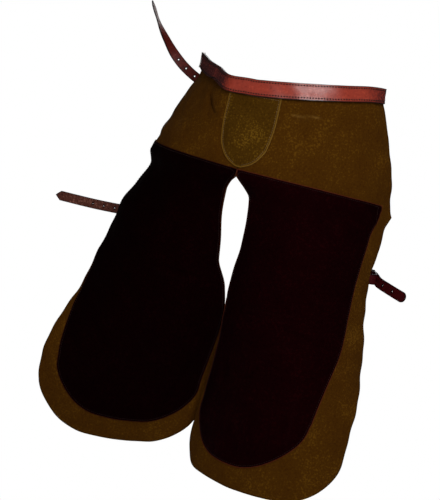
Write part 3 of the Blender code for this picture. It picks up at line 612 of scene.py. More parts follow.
def fill(loops, pitch, lines=None):
    """Flat triangles inside the first loop and outside the others.

    lines holds cuts across a strap, at which it bends; without them a grid of points fills the loop.
    """
    loops = [divided(loop, pitch) for loop in loops]
    outer = np.array(loops[0])
    corners, edges = [], []
    for loop in loops:
        first = len(corners)
        corners += loop
        edges += [(first + i, first + (i + 1) % len(loop)) for i in range(len(loop))]
    if lines is None:
        corners += grid_within(outer, pitch)
    for line in lines or ():
        edges += [(len(corners) + i, len(corners) + i + 1) for i in range(len(line) - 1)]
        corners += line
    found = delaunay_2d_cdt([Vector(p) for p in corners], edges, [], 0, 1e-7)
    points = np.array([tuple(p) for p in found[0]])
    triangles = np.array(found[2])
    a, b, c = (points[triangles[:, i]] for i in range(3))
    area = (b[:, 0] - a[:, 0]) * (c[:, 1] - a[:, 1]) - (b[:, 1] - a[:, 1]) * (c[:, 0] - a[:, 0])
    triangles[area < 0] = triangles[area < 0][:, ::-1]
    triangles = triangles[np.abs(area) > 1e-10]
    keep = inside(points[triangles].mean(1), outer)
    for hole in loops[1:]:
        keep &= ~inside(points[triangles].mean(1), hole)
    return points, triangles[keep], distance_to(points, outer)


print("the rounded patch fills with", len(fill([centre_outline()], 0.02)[1]), "triangles at 20 mm")


# %% A piece that rides on the apron
def new_piece(name, corners, faces, materials, pick=None):
    """A mesh object that rides on the apron. pick gives each face's material."""
    mesh = bpy.data.meshes.new(name)
    mesh.from_pydata([tuple(map(float, c)) for c in corners], [], [tuple(map(int, f)) for f in faces])
    for material in materials:
        mesh.materials.append(material)
    if pick is not None:
        mesh.polygons.foreach_set("material_index", np.asarray(pick, np.int32))
    mesh.polygons.foreach_set("use_smooth", np.ones(len(mesh.polygons), bool))
    mesh.update()
    piece = bpy.data.objects.new(name, mesh)
    bpy.context.scene.collection.objects.link(piece)
    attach(piece, "root")
    return piece


def keep_value(piece, name, values):
    attribute = piece.data.attributes.new(name, "FLOAT", "POINT")
    attribute.data.foreach_set("value", np.asarray(values, np.float32))


def rounded_off(piece, width, harden=False):
    """Sharp edges rounded a little, so that they catch light as real ones do."""
    bevel = piece.modifiers.new("round_off", "BEVEL")
    bevel.width = width
    bevel.segments = 2
    bevel.limit_method = "ANGLE"
    bevel.angle_limit = math.radians(40)
    bevel.harden_normals = harden
    return piece


# %% A sheet with two faces and a rim
def leather(name, inner, outer, triangles, edge, face, rim, soften=0.0005, more=None):
    """A sheet from the same points on its inner and outer face, its cut edges slightly rounded."""
    used = np.unique(triangles)
    number = np.full(len(inner), -1)
    number[used] = np.arange(len(used))
    triangles = number[triangles]
    inner, outer, edge = inner[used], outer[used], edge[used]
    a, b, c = (outer[triangles[:, i]] for i in range(3))
    if (np.cross(b - a, c - a) * (outer - inner)[triangles[:, 0]]).sum() < 0:
        triangles = triangles[:, ::-1]
    sides = np.concatenate([triangles[:, [0, 1]], triangles[:, [1, 2]], triangles[:, [2, 0]]])
    known = {tuple(side) for side in sides}
    border = [side for side in known if side[::-1] not in known]
    count = len(inner)
    faces = [tuple(t + count) for t in triangles] + [tuple(t[::-1]) for t in triangles]
    faces += [(p, q, q + count, p + count) for p, q in sorted(border)]
    pick = [0] * (2 * len(triangles)) + [1] * len(border)
    piece = new_piece(name, np.concatenate([inner, outer]), faces, [face, rim], pick)
    keep_value(piece, "edge", np.concatenate([edge, edge]))
    for label, values in (more or {}).items():
        keep_value(piece, label, np.concatenate([values[used], values[used]]))
    return rounded_off(piece, soften, harden=True)


print("sheets are ready to be cut")

# %% [markdown]
# ## Surface effects
#
# Leather, suede and steel share a few effects, so each is a node group that is built once and used
# with its own values. A group puts out only masks, colours and heights. The shader itself stays in
# each material.


# %% Helpers for node trees
def add(tree, kind, inputs=None, **settings):
    """A node with its settings and inputs. An input is a value or another node's socket."""
    node = tree.nodes.new(kind)
    for name, value in settings.items():
        setattr(node, name, value)
    for name, value in (inputs or {}).items():
        if isinstance(value, bpy.types.NodeSocket):
            tree.links.new(value, node.inputs[name])
        else:
            node.inputs[name].default_value = value
    return node


def new_group(name, inputs, outputs):
    """An empty group with named sockets: its tree, its input node and its output node."""
    group = bpy.data.node_groups.new(name, "ShaderNodeTree")
    for label, kind, value in inputs:
        socket = group.interface.new_socket(name=label, in_out="INPUT", socket_type="NodeSocket" + kind)
        socket.default_value = value
    for label, kind in outputs:
        group.interface.new_socket(name=label, in_out="OUTPUT", socket_type="NodeSocket" + kind)
    return group, group.nodes.new("NodeGroupInput"), group.nodes.new("NodeGroupOutput")


def maths(tree, operation, first, second):
    return add(tree, "ShaderNodeMath", {0: first, 1: second}, operation=operation).outputs[0]


def sum_of(tree, first, second, share=1.0):
    """first + second x share."""
    return add(tree, "ShaderNodeMath", {0: second, 1: share, 2: first}, operation="MULTIPLY_ADD").outputs[0]


def ramp(tree, value, low, high, kind="SMOOTHSTEP"):
    """0 where the value is low and 1 where it is high. low may be the greater of the two."""
    inputs = {"Value": value, "From Min": low, "From Max": high}
    return add(tree, "ShaderNodeMapRange", inputs, interpolation_type=kind).outputs[0]


def between(tree, share, first, second):
    """The value that lies a share of the way from first to second."""
    return add(tree, "ShaderNodeMapRange", {"Value": share, "To Min": first, "To Max": second}).outputs[0]


def mixed(tree, share, first, second):
    """A colour between two, by a mask."""
    return add(tree, "ShaderNodeMix", {"Factor": share, 6: first, 7: second}, data_type="RGBA").outputs[2]


def noise(tree, scale, detail=3.0, rough=0.55, stretch=None):
    """Smooth noise by place on the object, from 0 to 1."""
    place_of = add(tree, "ShaderNodeTexCoord").outputs["Object"]
    if stretch:
        place_of = add(tree, "ShaderNodeMapping", {"Vector": place_of, "Scale": stretch}).outputs[0]
    inputs = {"Vector": place_of, "Scale": scale, "Detail": detail, "Roughness": rough}
    return add(tree, "ShaderNodeTexNoise", inputs).outputs["Fac"]


# %% Group: mottled colour
def build_mottle():
    """Three colours of one hide, mixed by clouds a few centimetres and a few millimetres wide."""
    inputs = (
        ("Main", "Color", (0.5, 0.5, 0.5, 1)), ("Pale", "Color", (0.6, 0.6, 0.6, 1)),
        ("Deep", "Color", (0.3, 0.3, 0.3, 1)), ("Cloud", "Float", 16.0), ("Fleck", "Float", 130.0),
    )
    group, given, result = new_group("mottled_hide", inputs, (("Color", "Color"), ("Mask", "Float")))
    cloud = noise(group, given.outputs["Cloud"], 4.0, 0.6)
    fleck = noise(group, given.outputs["Fleck"], 5.0, 0.65)
    blend = sum_of(group, fleck, cloud, 0.5)
    pale = ramp(group, blend, 0.77, 0.93)
    deep = ramp(group, blend, 0.71, 0.53)
    lighter = mixed(group, pale, given.outputs["Main"], given.outputs["Pale"])
    group.links.new(mixed(group, deep, lighter, given.outputs["Deep"]), result.inputs["Color"])
    group.links.new(pale, result.inputs["Mask"])
    return group


# %% Groups: nap, grain and worn edge
def build_nap():
    """The brushed fibres of suede: a height made of fine noise over broader strokes."""
    inputs = (("Scale", "Float", 900.0), ("Strokes", "Float", 90.0))
    group, given, result = new_group("suede_nap", inputs, (("Height", "Float"),))
    fibre = noise(group, given.outputs["Scale"], 3.0, 0.7)
    stroke = noise(group, given.outputs["Strokes"], 3.0, 0.6, (1.0, 1.0, 0.35))
    group.links.new(sum_of(group, fibre, stroke, 1.4), result.inputs["Height"])
    return group


def build_grain():
    """Pebbled grain of smooth leather: small cells with soft valleys between them, and faint wrinkles."""
    inputs = (("Scale", "Float", 650.0), ("Wrinkle", "Float", 60.0))
    group, given, result = new_group("leather_grain", inputs, (("Height", "Float"),))
    spot = add(group, "ShaderNodeTexCoord").outputs["Object"]
    sizes = {"Vector": spot, "Scale": given.outputs["Scale"]}
    cells = add(group, "ShaderNodeTexVoronoi", sizes, feature="SMOOTH_F1")
    wrinkle = noise(group, given.outputs["Wrinkle"], 5.0, 0.6, (1.0, 1.0, 1.8))
    group.links.new(sum_of(group, cells.outputs["Distance"], wrinkle, 1.6), result.inputs["Height"])
    return group


def build_edge():
    """1 at the cut edge and 0 a little way in, broken up by noise. It reads the attribute `edge`."""
    inputs = (("Width", "Float", 0.003), ("Breakup", "Float", 0.5), ("Scale", "Float", 220.0))
    group, given, result = new_group("cut_edge_band", inputs, (("Mask", "Float"),))
    away = add(group, "ShaderNodeAttribute", attribute_name="edge").outputs["Fac"]
    shifted = maths(group, "SUBTRACT", noise(group, given.outputs["Scale"], 4.0, 0.6), 0.5)
    jitter = maths(group, "MULTIPLY", shifted, given.outputs["Breakup"])
    width = maths(group, "MULTIPLY", given.outputs["Width"], maths(group, "ADD", jitter, 1.0))
    group.links.new(ramp(group, away, width, 0.0), result.inputs["Mask"])
    return group


# %% Groups: rubs, dirt and scuffs
def build_marks():
    """Rubbed and scratched places: long thin noise where broad noise allows it."""
    inputs = (("Amount", "Float", 0.5), ("Area", "Float", 9.0), ("Lines", "Float", 70.0))
    group, given, result = new_group("rubbed_marks", inputs, (("Mask", "Float"),))
    where = ramp(group, noise(group, given.outputs["Area"], 2.0, 0.5), 0.52, 0.72)
    lines = noise(group, given.outputs["Lines"], 4.0, 0.7, (1.0, 1.0, 0.22))
    joined = maths(group, "MULTIPLY", where, ramp(group, lines, 0.56, 0.74))
    group.links.new(maths(group, "MULTIPLY", joined, given.outputs["Amount"]), result.inputs["Mask"])
    return group


def build_shade_and_scuff():
    """The painted shade and scuff attributes, broken up by noise."""
    inputs = (("Soil Amount", "Float", 0.8), ("Scuff Amount", "Float", 0.8))
    group, given, result = new_group("painted_shade_and_scuff_marks", inputs, (("Soil", "Float"), ("Scuff", "Float")))
    patchy = ramp(group, noise(group, 260.0, 4.0, 0.65), 0.30, 0.62, "LINEAR")
    # The first mask is painted shade, the second is real scuffing.
    for label in ("Soil", "Scuff"):
        wear_and_painted_light = add(group, "ShaderNodeAttribute", attribute_name=label.lower()).outputs["Fac"]
        share = maths(group, "MULTIPLY", wear_and_painted_light, patchy)
        scaled = maths(group, "MULTIPLY", share, given.outputs[label + " Amount"])
        group.links.new(scaled, result.inputs[label])
    return group


GROUPS = {
    "shade_and_scuff": build_shade_and_scuff(), "mottle": build_mottle(), "nap": build_nap(),
    "grain": build_grain(), "edge": build_edge(), "marks": build_marks(),
}
print("node groups:", ", ".join(GROUPS))

# %% [markdown]
# ## Materials
#
# Suede is the rough side of a split hide: it has almost no gloss, its colour is uneven, and
# brushed fibres catch light at a flat angle, which is what sheen is for. The thigh patches are
# smooth leather gone nearly black with wear, the left one painted darker as painted shade where
# its flap turns from the light. The belt is waxed and shiny. The straps are the same hide with
# burnished black edges: the right and waist straps are each darkened in their own way, and the
# left leg strap is painted paler and pinker, as painted light where it faces the lamp.


# %% Material helpers
def shade(value):
    """A colour given as the eye reads it, 0 to 255, as Blender's linear colour."""
    share = [v / 255 for v in value]
    return (*[s / 12.92 if s <= 0.04045 else ((s + 0.055) / 1.055) ** 2.4 for s in share], 1.0)


def new_material(name, roughness, specular, metallic=0.0):
    material = bpy.data.materials.new(name)
    material.use_nodes = True
    tree = material.node_tree
    shader = tree.nodes["Principled BSDF"]
    shader.inputs["Roughness"].default_value = roughness
    shader.inputs["Specular IOR Level"].default_value = specular
    shader.inputs["Metallic"].default_value = metallic
    return material, tree, shader


def use(tree, name, **inputs):
    """One of the shared groups, with its own values."""
    node = add(tree, "ShaderNodeGroup", node_tree=GROUPS[name])
    for label, value in inputs.items():
        node.inputs[label].default_value = value
    return node


def mottled(tree, main, pale, deep, cloud, fleck):
    return use(tree, "mottle", Main=shade(main), Pale=shade(pale), Deep=shade(deep), Cloud=cloud, Fleck=fleck)


def bumped(tree, shader, height, distance, strength=1.0):
    bump = add(tree, "ShaderNodeBump", {"Height": height, "Distance": distance, "Strength": strength})
    tree.links.new(bump.outputs["Normal"], shader.inputs["Normal"])


print("suede brown is", [round(v, 3) for v in shade((59, 33, 3))[:3]], "in linear colour")


# %% Suede
def suede(name, main, pale, deep, wear_and_painted_light, edge_width):
    """Split leather with a brushed nap, its fourth colour painted along the cut edge: darker for painted
    shade, paler for a painted highlight.
    """
    material, tree, shader = new_material(name, 0.95, 0.02)
    mottle = mottled(tree, main, pale, deep, 17.0, 290.0)
    marks = use(tree, "marks", Amount=0.4, Area=8.0, Lines=80.0)
    edge = use(tree, "edge", Width=edge_width, Breakup=1.1)
    nap = use(tree, "nap", Scale=900.0, Strokes=160.0)
    shade_and_scuff = use(tree, "shade_and_scuff", **{"Soil Amount": 0.75, "Scuff Amount": 0.9})
    rubbed = mixed(tree, marks.outputs["Mask"], mottle.outputs["Color"], shade(pale))
    # Painted shade: the painted shade mask mixes the suede towards a darker brown.
    with_painted_shade = mixed(tree, shade_and_scuff.outputs["Soil"], rubbed, shade([v * 0.45 for v in main]))
    scuffed = mixed(tree, shade_and_scuff.outputs["Scuff"], with_painted_shade, shade([v + 22 for v in pale]))
    edged = mixed(tree, edge.outputs["Mask"], scuffed, shade(wear_and_painted_light))
    tree.links.new(edged, shader.inputs["Base Color"])
    shader.inputs["Sheen Weight"].default_value = 0.03
    shader.inputs["Sheen Roughness"].default_value = 0.5
    shader.inputs["Sheen Tint"].default_value = shade((170, 110, 40))
    bumped(tree, shader, nap.outputs["Height"], 0.0009)
    return material


# Painted shade: the brown suede's edge colour is darker along its cut edge. Painted highlight: the centre
# patch's edge colour is paler along its raised edge.
SUEDE_BROWN = suede("brown_suede", (59, 33, 3), (79, 50, 8), (50, 25, 2), (36, 18, 2), 0.0026)
SUEDE_CENTRE = suede("centre_suede", (58, 36, 4), (88, 61, 13), (46, 27, 2), (98, 70, 22), 0.0042)
print("suedes:", SUEDE_BROWN.name, SUEDE_CENTRE.name)


# %% Smooth leather
def smooth_leather(name, colours, finish, edge_width, coat=0.0, tint=None, grain=0.00025):
    """Grain leather: mottled colour, darker or paler cut edge, fine pebbled bump.

    colours are main, pale, deep and edge; finish is roughness and specular level.
    """
    main, pale, deep, edge_colour = colours
    roughness, specular = finish
    material, tree, shader = new_material(name, roughness, specular)
    mottle = mottled(tree, main, pale, deep, 22.0, 190.0)
    edge = use(tree, "edge", Width=edge_width, Breakup=0.5)
    height = use(tree, "grain", Scale=720.0, Wrinkle=70.0)
    marks = use(tree, "marks", Amount=0.5, Area=14.0, Lines=150.0)
    shade_and_scuff = use(tree, "shade_and_scuff", **{"Soil Amount": 0.9, "Scuff Amount": 0.6})
    rubbed = mixed(tree, marks.outputs["Mask"], mottle.outputs["Color"], shade(pale))
    # Painted shade: a darker colour mixed in by the painted shade mask, which also raises roughness and takes
    # off the coat.
    painted_shade_colour = shade([deep[0] * 0.5, deep[1] * 0.1, deep[2] * 0.1])
    with_painted_shade = mixed(tree, shade_and_scuff.outputs["Soil"], rubbed, painted_shade_colour)
    scuffed = mixed(tree, shade_and_scuff.outputs["Scuff"], with_painted_shade, shade([v * 1.3 + 4 for v in pale]))
    edged = mixed(tree, edge.outputs["Mask"], scuffed, shade(edge_colour))
    tree.links.new(edged, shader.inputs["Base Color"])
    low = between(tree, mottle.outputs["Mask"], roughness, roughness * 0.8)
    tree.links.new(sum_of(tree, low, shade_and_scuff.outputs["Soil"], 0.45), shader.inputs["Roughness"])
    if coat:
        waxed = between(tree, shade_and_scuff.outputs["Soil"], coat, 0.0)
        tree.links.new(waxed, shader.inputs["Coat Weight"])
    shader.inputs["Coat Roughness"].default_value = 0.18
    if tint:
        shader.inputs["Specular Tint"].default_value = shade(tint)
    bumped(tree, shader, height.outputs["Height"], grain, 0.6)
    return material


# main, pale, deep and edge of each leather
LEATHERS = {
    # The left patch's colours are a darker copy of the right patch's: painted shade on the flap that turns
    # away from the light.
    "dark_leather_left_shaded": ((5, 0.2, 0.6), (9, 0.5, 1.2), (3, 0, 0.3), (46, 19, 11)),
    "dark_leather_right": ((10, 0.5, 1.2), (17, 1, 2), (6, 0, 0.6), (72, 32, 18)),
    "belt_leather": ((130, 44, 29), (146, 56, 39), (104, 29, 19), (26, 3, 3)),
    # The left leg strap's colours are a paler, pinker copy of the strap hide: painted light where it faces
    # the lamp.
    "left_strap_leather_lit": ((70, 36, 28), (112, 72, 60), (44, 18, 13), (20, 5, 3)),
    "right_strap_leather": ((46, 1, 3), (62, 6, 6), (26, 0, 2), (9, 0, 1)),
    "waist_strap_leather": ((70, 17, 10), (90, 30, 19), (42, 9, 6), (10, 1, 1)),
}
DARK_RED = (255, 90, 100)


def named_leather(name, *rest, **options):
    return smooth_leather(name, LEATHERS[name], *rest, **options)


DARK = {
    # Painted shade: the left patch uses the darker copy.
    "left": named_leather("dark_leather_left_shaded", (0.75, 0.02), 0.0016, tint=DARK_RED),
    "right": named_leather("dark_leather_right", (0.7, 0.025), 0.0021, tint=DARK_RED),
}
BELT = named_leather("belt_leather", (0.36, 0.30), 0.0030, coat=0.15, grain=0.00012)
# Painted light: the left leg strap uses the paler copy.
STRAP_LEFT = named_leather("left_strap_leather_lit", (0.6, 0.08), 0.0026)
STRAP_RIGHT = named_leather("right_strap_leather", (0.6, 0.06), 0.0026)
STRAP_WAIST = named_leather("waist_strap_leather", (0.5, 0.10), 0.0028)
print("smooth leathers:", len(LEATHERS))


# %% Cut edges, thread and steel
def plain(name, colours, roughness, specular, metallic=0.0, scale=300.0):
    """A finish with no cut edge of its own: mottled colour and a fine bump."""
    material, tree, shader = new_material(name, roughness, specular, metallic)
    mottle = mottled(tree, *colours, 60.0, scale)
    tree.links.new(mottle.outputs["Color"], shader.inputs["Base Color"])
    bumped(tree, shader, noise(tree, scale * 3, 3.0, 0.6), 0.0002, 0.5)
    return material


# Painted shade: the suede's cut edge is painted dark. Painted highlight: the centre patch's cut edge is
# painted pale.
SUEDE_RIM = plain("suede_cut_edge", ((36, 19, 5), (52, 32, 12), (24, 11, 2)), 0.95, 0.02)
CENTRE_RIM = plain("centre_cut_edge", ((104, 84, 44), (126, 104, 60), (80, 60, 26)), 0.95, 0.1)
PATCH_RIM = plain("patch_cut_edge", ((74, 40, 22), (98, 58, 36), (48, 22, 12)), 0.85, 0.15)
BLACK_RIM = plain("burnished_edge", ((16, 5, 4), (28, 10, 8), (8, 2, 2)), 0.5, 0.3)
THREAD_DARK = plain("dark_thread", ((24, 8, 6), (40, 18, 12), (12, 3, 2)), 0.7, 0.2, scale=900.0)
THREAD_PALE = plain("pale_thread", ((96, 76, 52), (128, 104, 74), (60, 44, 28)), 0.8, 0.2, scale=900.0)
STEEL = plain("worn_steel", ((176, 168, 166), (205, 198, 196), (120, 110, 108)), 0.34, 0.5, 1.0, 500.0)
print("materials:", len(bpy.data.materials))

# %% [markdown]
# ## The suede panels and the patches on them
#
# The two leg panels meet at the centre seam. Each dark patch and the rounded patch over the seam
# is the same hung surface, moved out by the thickness of what lies under it.

# %% Cut and hang the panels and patches
SHEET_PITCH = 0.0043


def hang_sheet(name, loop, sign, lift, thick, face, rim):
    """One flat piece, cut from its outline and hung at a height over the inner face of the panels."""
    points, triangles, edge = fill([loop], SHEET_PITCH)
    across, drop = points[:, 0] * sign, points[:, 1]
    soil, scuff = painted_shade_and_scuff(across, drop)
    faces = place(across, drop, lift), place(across, drop, lift + thick)
    return leather(name, *faces, triangles, edge, face, rim, more={"soil": soil, "scuff": scuff})


sheets = {}
for side, sign in SIGN.items():
    panel = hang_sheet(f"suede_leg_{side}", panel_outline(side), sign, 0.0, SUEDE, SUEDE_BROWN, SUEDE_RIM)
    loop = patch_outline(side)
    patch = hang_sheet(f"dark_patch_{side}", loop, sign, PATCH_LIFT, PATCH, DARK[side], PATCH_RIM)
    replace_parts(panel, f"panel_{side}")
    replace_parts(patch, f"thigh_patch_{side}")
    sheets[side] = (panel, patch)
    print(side, "panel and patch:", len(panel.data.polygons), len(patch.data.polygons), "faces")

loop = centre_outline()
centre = hang_sheet("centre_suede_patch", loop, 1.0, PATCH_LIFT, PATCH, SUEDE_CENTRE, CENTRE_RIM)
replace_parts(centre, "centre_patch")

# %% [markdown]
# ## Stitches
#
# A saddle stitch shows as a row of short, slightly raised dashes that dip into the leather at both
# ends. Each is a small tapered tube over three points on the surface. One mesh holds a whole row,
# because nobody takes one stitch off by itself.


# %% Stitch rows
STITCH_SIDES = 6
# how far along a stitch, how thick and how high it is there
STITCH_RINGS = (
    (0.0, 0.45, -0.5), (0.15, 0.85, 0.25), (0.5, 1.0, 0.75), (0.85, 0.85, 0.25), (1.0, 0.45, -0.5),
)
STITCH_FACES = STITCH_SIDES * (len(STITCH_RINGS) - 1) + 2


def along_line(points, pitch, margin=0.0):
    """Where stitches start and end on a flat line: arrays of starts, middles and ends."""
    points = np.asarray(points, float)
    run = np.concatenate([[0], np.cumsum(np.linalg.norm(np.diff(points, axis=0), axis=1))])
    starts = np.arange(margin, run[-1] - margin - pitch * 0.7, pitch)
    picked = []
    for share in (0.0, 0.31, 0.62):
        at = starts + pitch * share
        picked.append(np.stack([np.interp(at, run, points[:, i]) for i in (0, 1)], 1))
    return picked


def tube_faces(sides, rings, first=0, closed=False):
    """The walls between rings of corners, and a cap at either end unless the tube closes on itself."""
    faces = []
    for i in range(rings if closed else rings - 1):
        low = first + i * sides
        high = first + (i + 1) % rings * sides
        faces += [(low + k, low + (k + 1) % sides, high + (k + 1) % sides, high + k) for k in range(sides)]
    if not closed:
        faces.append(tuple(first + k for k in range(sides))[::-1])
        faces.append(tuple(first + (rings - 1) * sides + k for k in range(sides)))
    return faces


def sew(name, ends, normals, radius, material):
    """Tapered tubes through the start, middle and end of each stitch, raised at the middle."""
    starts, middles, finishes = ends
    sides = STITCH_SIDES
    corners, faces = [], []
    for start, middle, finish, up in zip(starts, middles, finishes, normals):
        run = finish - start
        wide = np.cross(up, run)
        wide /= max(np.linalg.norm(wide), 1e-9)
        first = len(corners)
        for share, size, height in STITCH_RINGS:
            spot = start * (1 - share) ** 2 + middle * 2 * share * (1 - share) + finish * share**2
            spot = spot + up * height * radius
            for k in range(sides):
                turn = 2 * math.pi * k / sides
                corners.append(spot + (wide * math.cos(turn) + up * math.sin(turn) * 0.8) * radius * size)
        faces += tube_faces(sides, len(STITCH_RINGS), first)
    piece = new_piece(name, corners, faces, [material])
    return piece


def sew_flat(name, line, lift, pitch, radius, material, slot, margin=0.0):
    """A row of stitches along a flat line of the cut, on the surface at a lift."""
    flat = along_line(line, pitch, margin)
    ends = [place(p[:, 0], p[:, 1], lift) for p in flat]
    return sew(name, ends, outward(flat[1][:, 0], flat[1][:, 1]), radius, material)


def inset(loop, by):
    """A closed loop moved inwards."""
    loop = np.asarray(loop, float)
    run = np.roll(loop, -2, 0) - np.roll(loop, 2, 0)
    off = np.stack([-run[:, 1], run[:, 0]], 1)
    off /= np.maximum(np.linalg.norm(off, axis=1), 1e-9)[:, None]
    moved = loop + off * by
    if not inside(moved[5:6], loop)[0]:
        moved = loop - off * by
    keep = distance_to(moved, loop) > by * 0.93
    return moved[keep]


print("a stitch is a tube of", STITCH_FACES, "faces")

# %% Stitch the patches on
SEAM_IN = 0.0042
STITCH = 0.0044
PATCH_TOPSIDE = PATCH_LIFT + PATCH
PATCH_THREAD = 0.00050
for side, sign in SIGN.items():
    seam_line = inset(patch_outline(side), SEAM_IN)
    seam_line = np.concatenate([seam_line, seam_line[:1]]) * (sign, 1.0)
    spots = seam_line, PATCH_TOPSIDE, STITCH, PATCH_THREAD
    row = sew_flat(f"patch_stitching_{side}", *spots, THREAD_DARK, "dark")
    print(row.name, len(row.data.polygons) // STITCH_FACES, "stitches")

# The belt hides the top of the rounded patch, so its row starts and ends below the belt.
CENTRE_SEAM_IN = 0.0040
CENTRE_THREAD = 0.00045
BELOW_BELT = 0.016
CENTRE_MIDDLE = 0.08
centre_line = inset(centre_outline(), CENTRE_SEAM_IN)
centre_line = centre_line[centre_line[:, 1] > BELOW_BELT]
order = np.argsort(-np.arctan2(centre_line[:, 0], CENTRE_MIDDLE - centre_line[:, 1]))
spots = centre_line[order], PATCH_TOPSIDE, STITCH, CENTRE_THREAD
sew_flat("centre_patch_stitching", *spots, THREAD_PALE, "suede", 0.001)

# %% [markdown]
# ## The belt
#
# The belt lies over the top of the yoke. It is thicker than the rest, waxed, and stitched along
# both edges. A folded steel strip closes its left end.

# %% Belt and its stitching
BELT_STEP = 0.004
BELT_STITCH = 0.0052
BELT_THREAD = 0.00125
half_belt = BELT_WIDTH / 2
belt_loop = [(x * BELT_HALF, y * half_belt) for x, y in ((-1, -1), (1, -1), (1, 1), (-1, 1))]
# each cut runs past both edges of the belt, with more points where the stitched groove is
belt_levels = (-0.02, -0.0155, -0.0140, -0.0118, -0.006, 0.0, 0.006, 0.0118, 0.0140, 0.0155, 0.02)
belt_stations = np.arange(-BELT_HALF + BELT_STEP, BELT_HALF, BELT_STEP)
belt_cuts = [[(float(a), level) for level in belt_levels] for a in belt_stations]
points, triangles, edge = fill([belt_loop], BELT_STEP, belt_cuts)
level = points[:, 1]
across = points[:, 0]
drop = waistline(across) + level
crown = 0.0005 * (1 - (np.abs(level) / half_belt) ** 4)
off_seam = (half_belt - np.abs(level)) - SEAM_IN
groove = 0.00035 * np.exp(-(off_seam / 0.0011) ** 2)
front_face = BELT_LIFT + BELT_THICK - 0.0004 + crown - groove
# Painted shade darkens both ends of the belt, where it turns away from the light, and its stitched grooves; a
# painted highlight leaves one paler place on the left end.
painted_highlight = 1 - 0.45 * np.exp(-(((across + 0.120) / 0.014) ** 2))
belt_painted_shade = 2.0 * np.clip((-0.052 - across) / 0.022, 0, 1) * painted_highlight
belt_painted_shade = np.maximum(belt_painted_shade, 1.3 * np.clip((across - 0.200) / 0.05, 0, 1))
belt_painted_shade = np.maximum(belt_painted_shade, 0.30 * np.exp(-(off_seam / 0.0012) ** 2))
faces = place(across, drop, BELT_LIFT), place(across, drop, front_face)
belt = leather("stitched_belt", *faces, triangles, edge, BELT, BLACK_RIM, 0.0009, {"soil": belt_painted_shade})
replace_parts(belt, "belt_front")
line_across = np.linspace(-BELT_HALF + BELT_STEP, BELT_HALF - BELT_STEP, 130)
for name, down in (("upper", -half_belt + SEAM_IN), ("lower", half_belt - SEAM_IN)):
    line = np.stack([line_across, waistline(line_across) + down], 1)
    spots = line, BELT_LIFT + BELT_THICK - 0.0002, BELT_STITCH, BELT_THREAD
    row = sew_flat(f"belt_stitching_{name}", *spots, THREAD_DARK, "belt")
    print(row.name, len(row.data.polygons) // STITCH_FACES, "stitches")

# %% Steel strip at the belt's end
wall = 0.0008
room = 0.0006
end = -BELT_HALF
lip = end + 0.0055
near, far = BELT_LIFT - room - wall, BELT_LIFT + BELT_THICK + room + wall
fold = [
    (lip, near), (end - SEAM - wall, near), (end - SEAM - wall, far), (lip, far),
    (lip, far - wall), (end - SEAM, far - wall), (end - SEAM, near + wall), (lip, near + wall),
]
strip_levels = np.linspace(-half_belt - room, half_belt + room, 15)
corners = []
for level in strip_levels:
    corners += [place([a], [float(waistline(end)) + level], n)[0] for a, n in fold]
faces = []
for i in range(len(strip_levels) - 1):
    faces += [(8 * i + k, 8 * i + (k + 1) % 8, 8 * i + 8 + (k + 1) % 8, 8 * i + 8 + k) for k in range(8)]
caps = [(0, 1, 6, 7), (1, 2, 5, 6), (2, 3, 4, 5)]
top = 8 * (len(strip_levels) - 1)
faces += [tuple(top + i for i in cap) for cap in caps] + [cap[::-1] for cap in caps]


def face_out(piece):
    """Turns the faces of a closed body outwards."""
    mesh = piece.data
    mesh.calc_loop_triangles()
    spots = np.array([v.co for v in mesh.vertices])
    trios = np.array([t.vertices for t in mesh.loop_triangles])
    a, b, c = (spots[trios[:, i]] for i in range(3))
    if (np.cross(a, b) * c).sum() < 0:
        mesh.flip_normals()
    return piece


tip = rounded_off(face_out(new_piece("belt_end_steel", corners, faces, [STEEL])), 0.00025)
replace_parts(tip, "belt_tip")
print("steel strip:", len(tip.data.polygons), "faces")

# %% [markdown]
# ## Straps, billets and buckles
#
# A strap is a flat strip of leather that bends along its length and twists a little. It is cut
# flat, with its holes punched, and laid along a smooth path given by a few rows of x, y, z and
# tilt. A billet is the short doubled strap that holds a buckle by its heel bar.


# %% Laying a strap along its path
STRAP_STITCH = 0.0040
STRAP_THREAD = 0.0004


def unit(v):
    return v / np.linalg.norm(v)


def smooth_path(rows, spacing=0.0006):
    """A smooth curve through rows of x, y, z, tilt: distance run and points."""
    rows = np.array(rows, float)
    steps = np.linalg.norm(np.diff(rows[:, :3], axis=0), axis=1)
    knots = np.concatenate([[0], np.cumsum(steps)])
    table = np.column_stack([knots, rows])
    at = np.linspace(0, knots[-1], max(8, int(knots[-1] / spacing)))
    points = np.stack([smooth(table, i, at) for i in range(1, 5)], 1)
    run = np.concatenate([[0], np.cumsum(np.linalg.norm(np.diff(points[:, :3], axis=0), axis=1))])
    return run, points


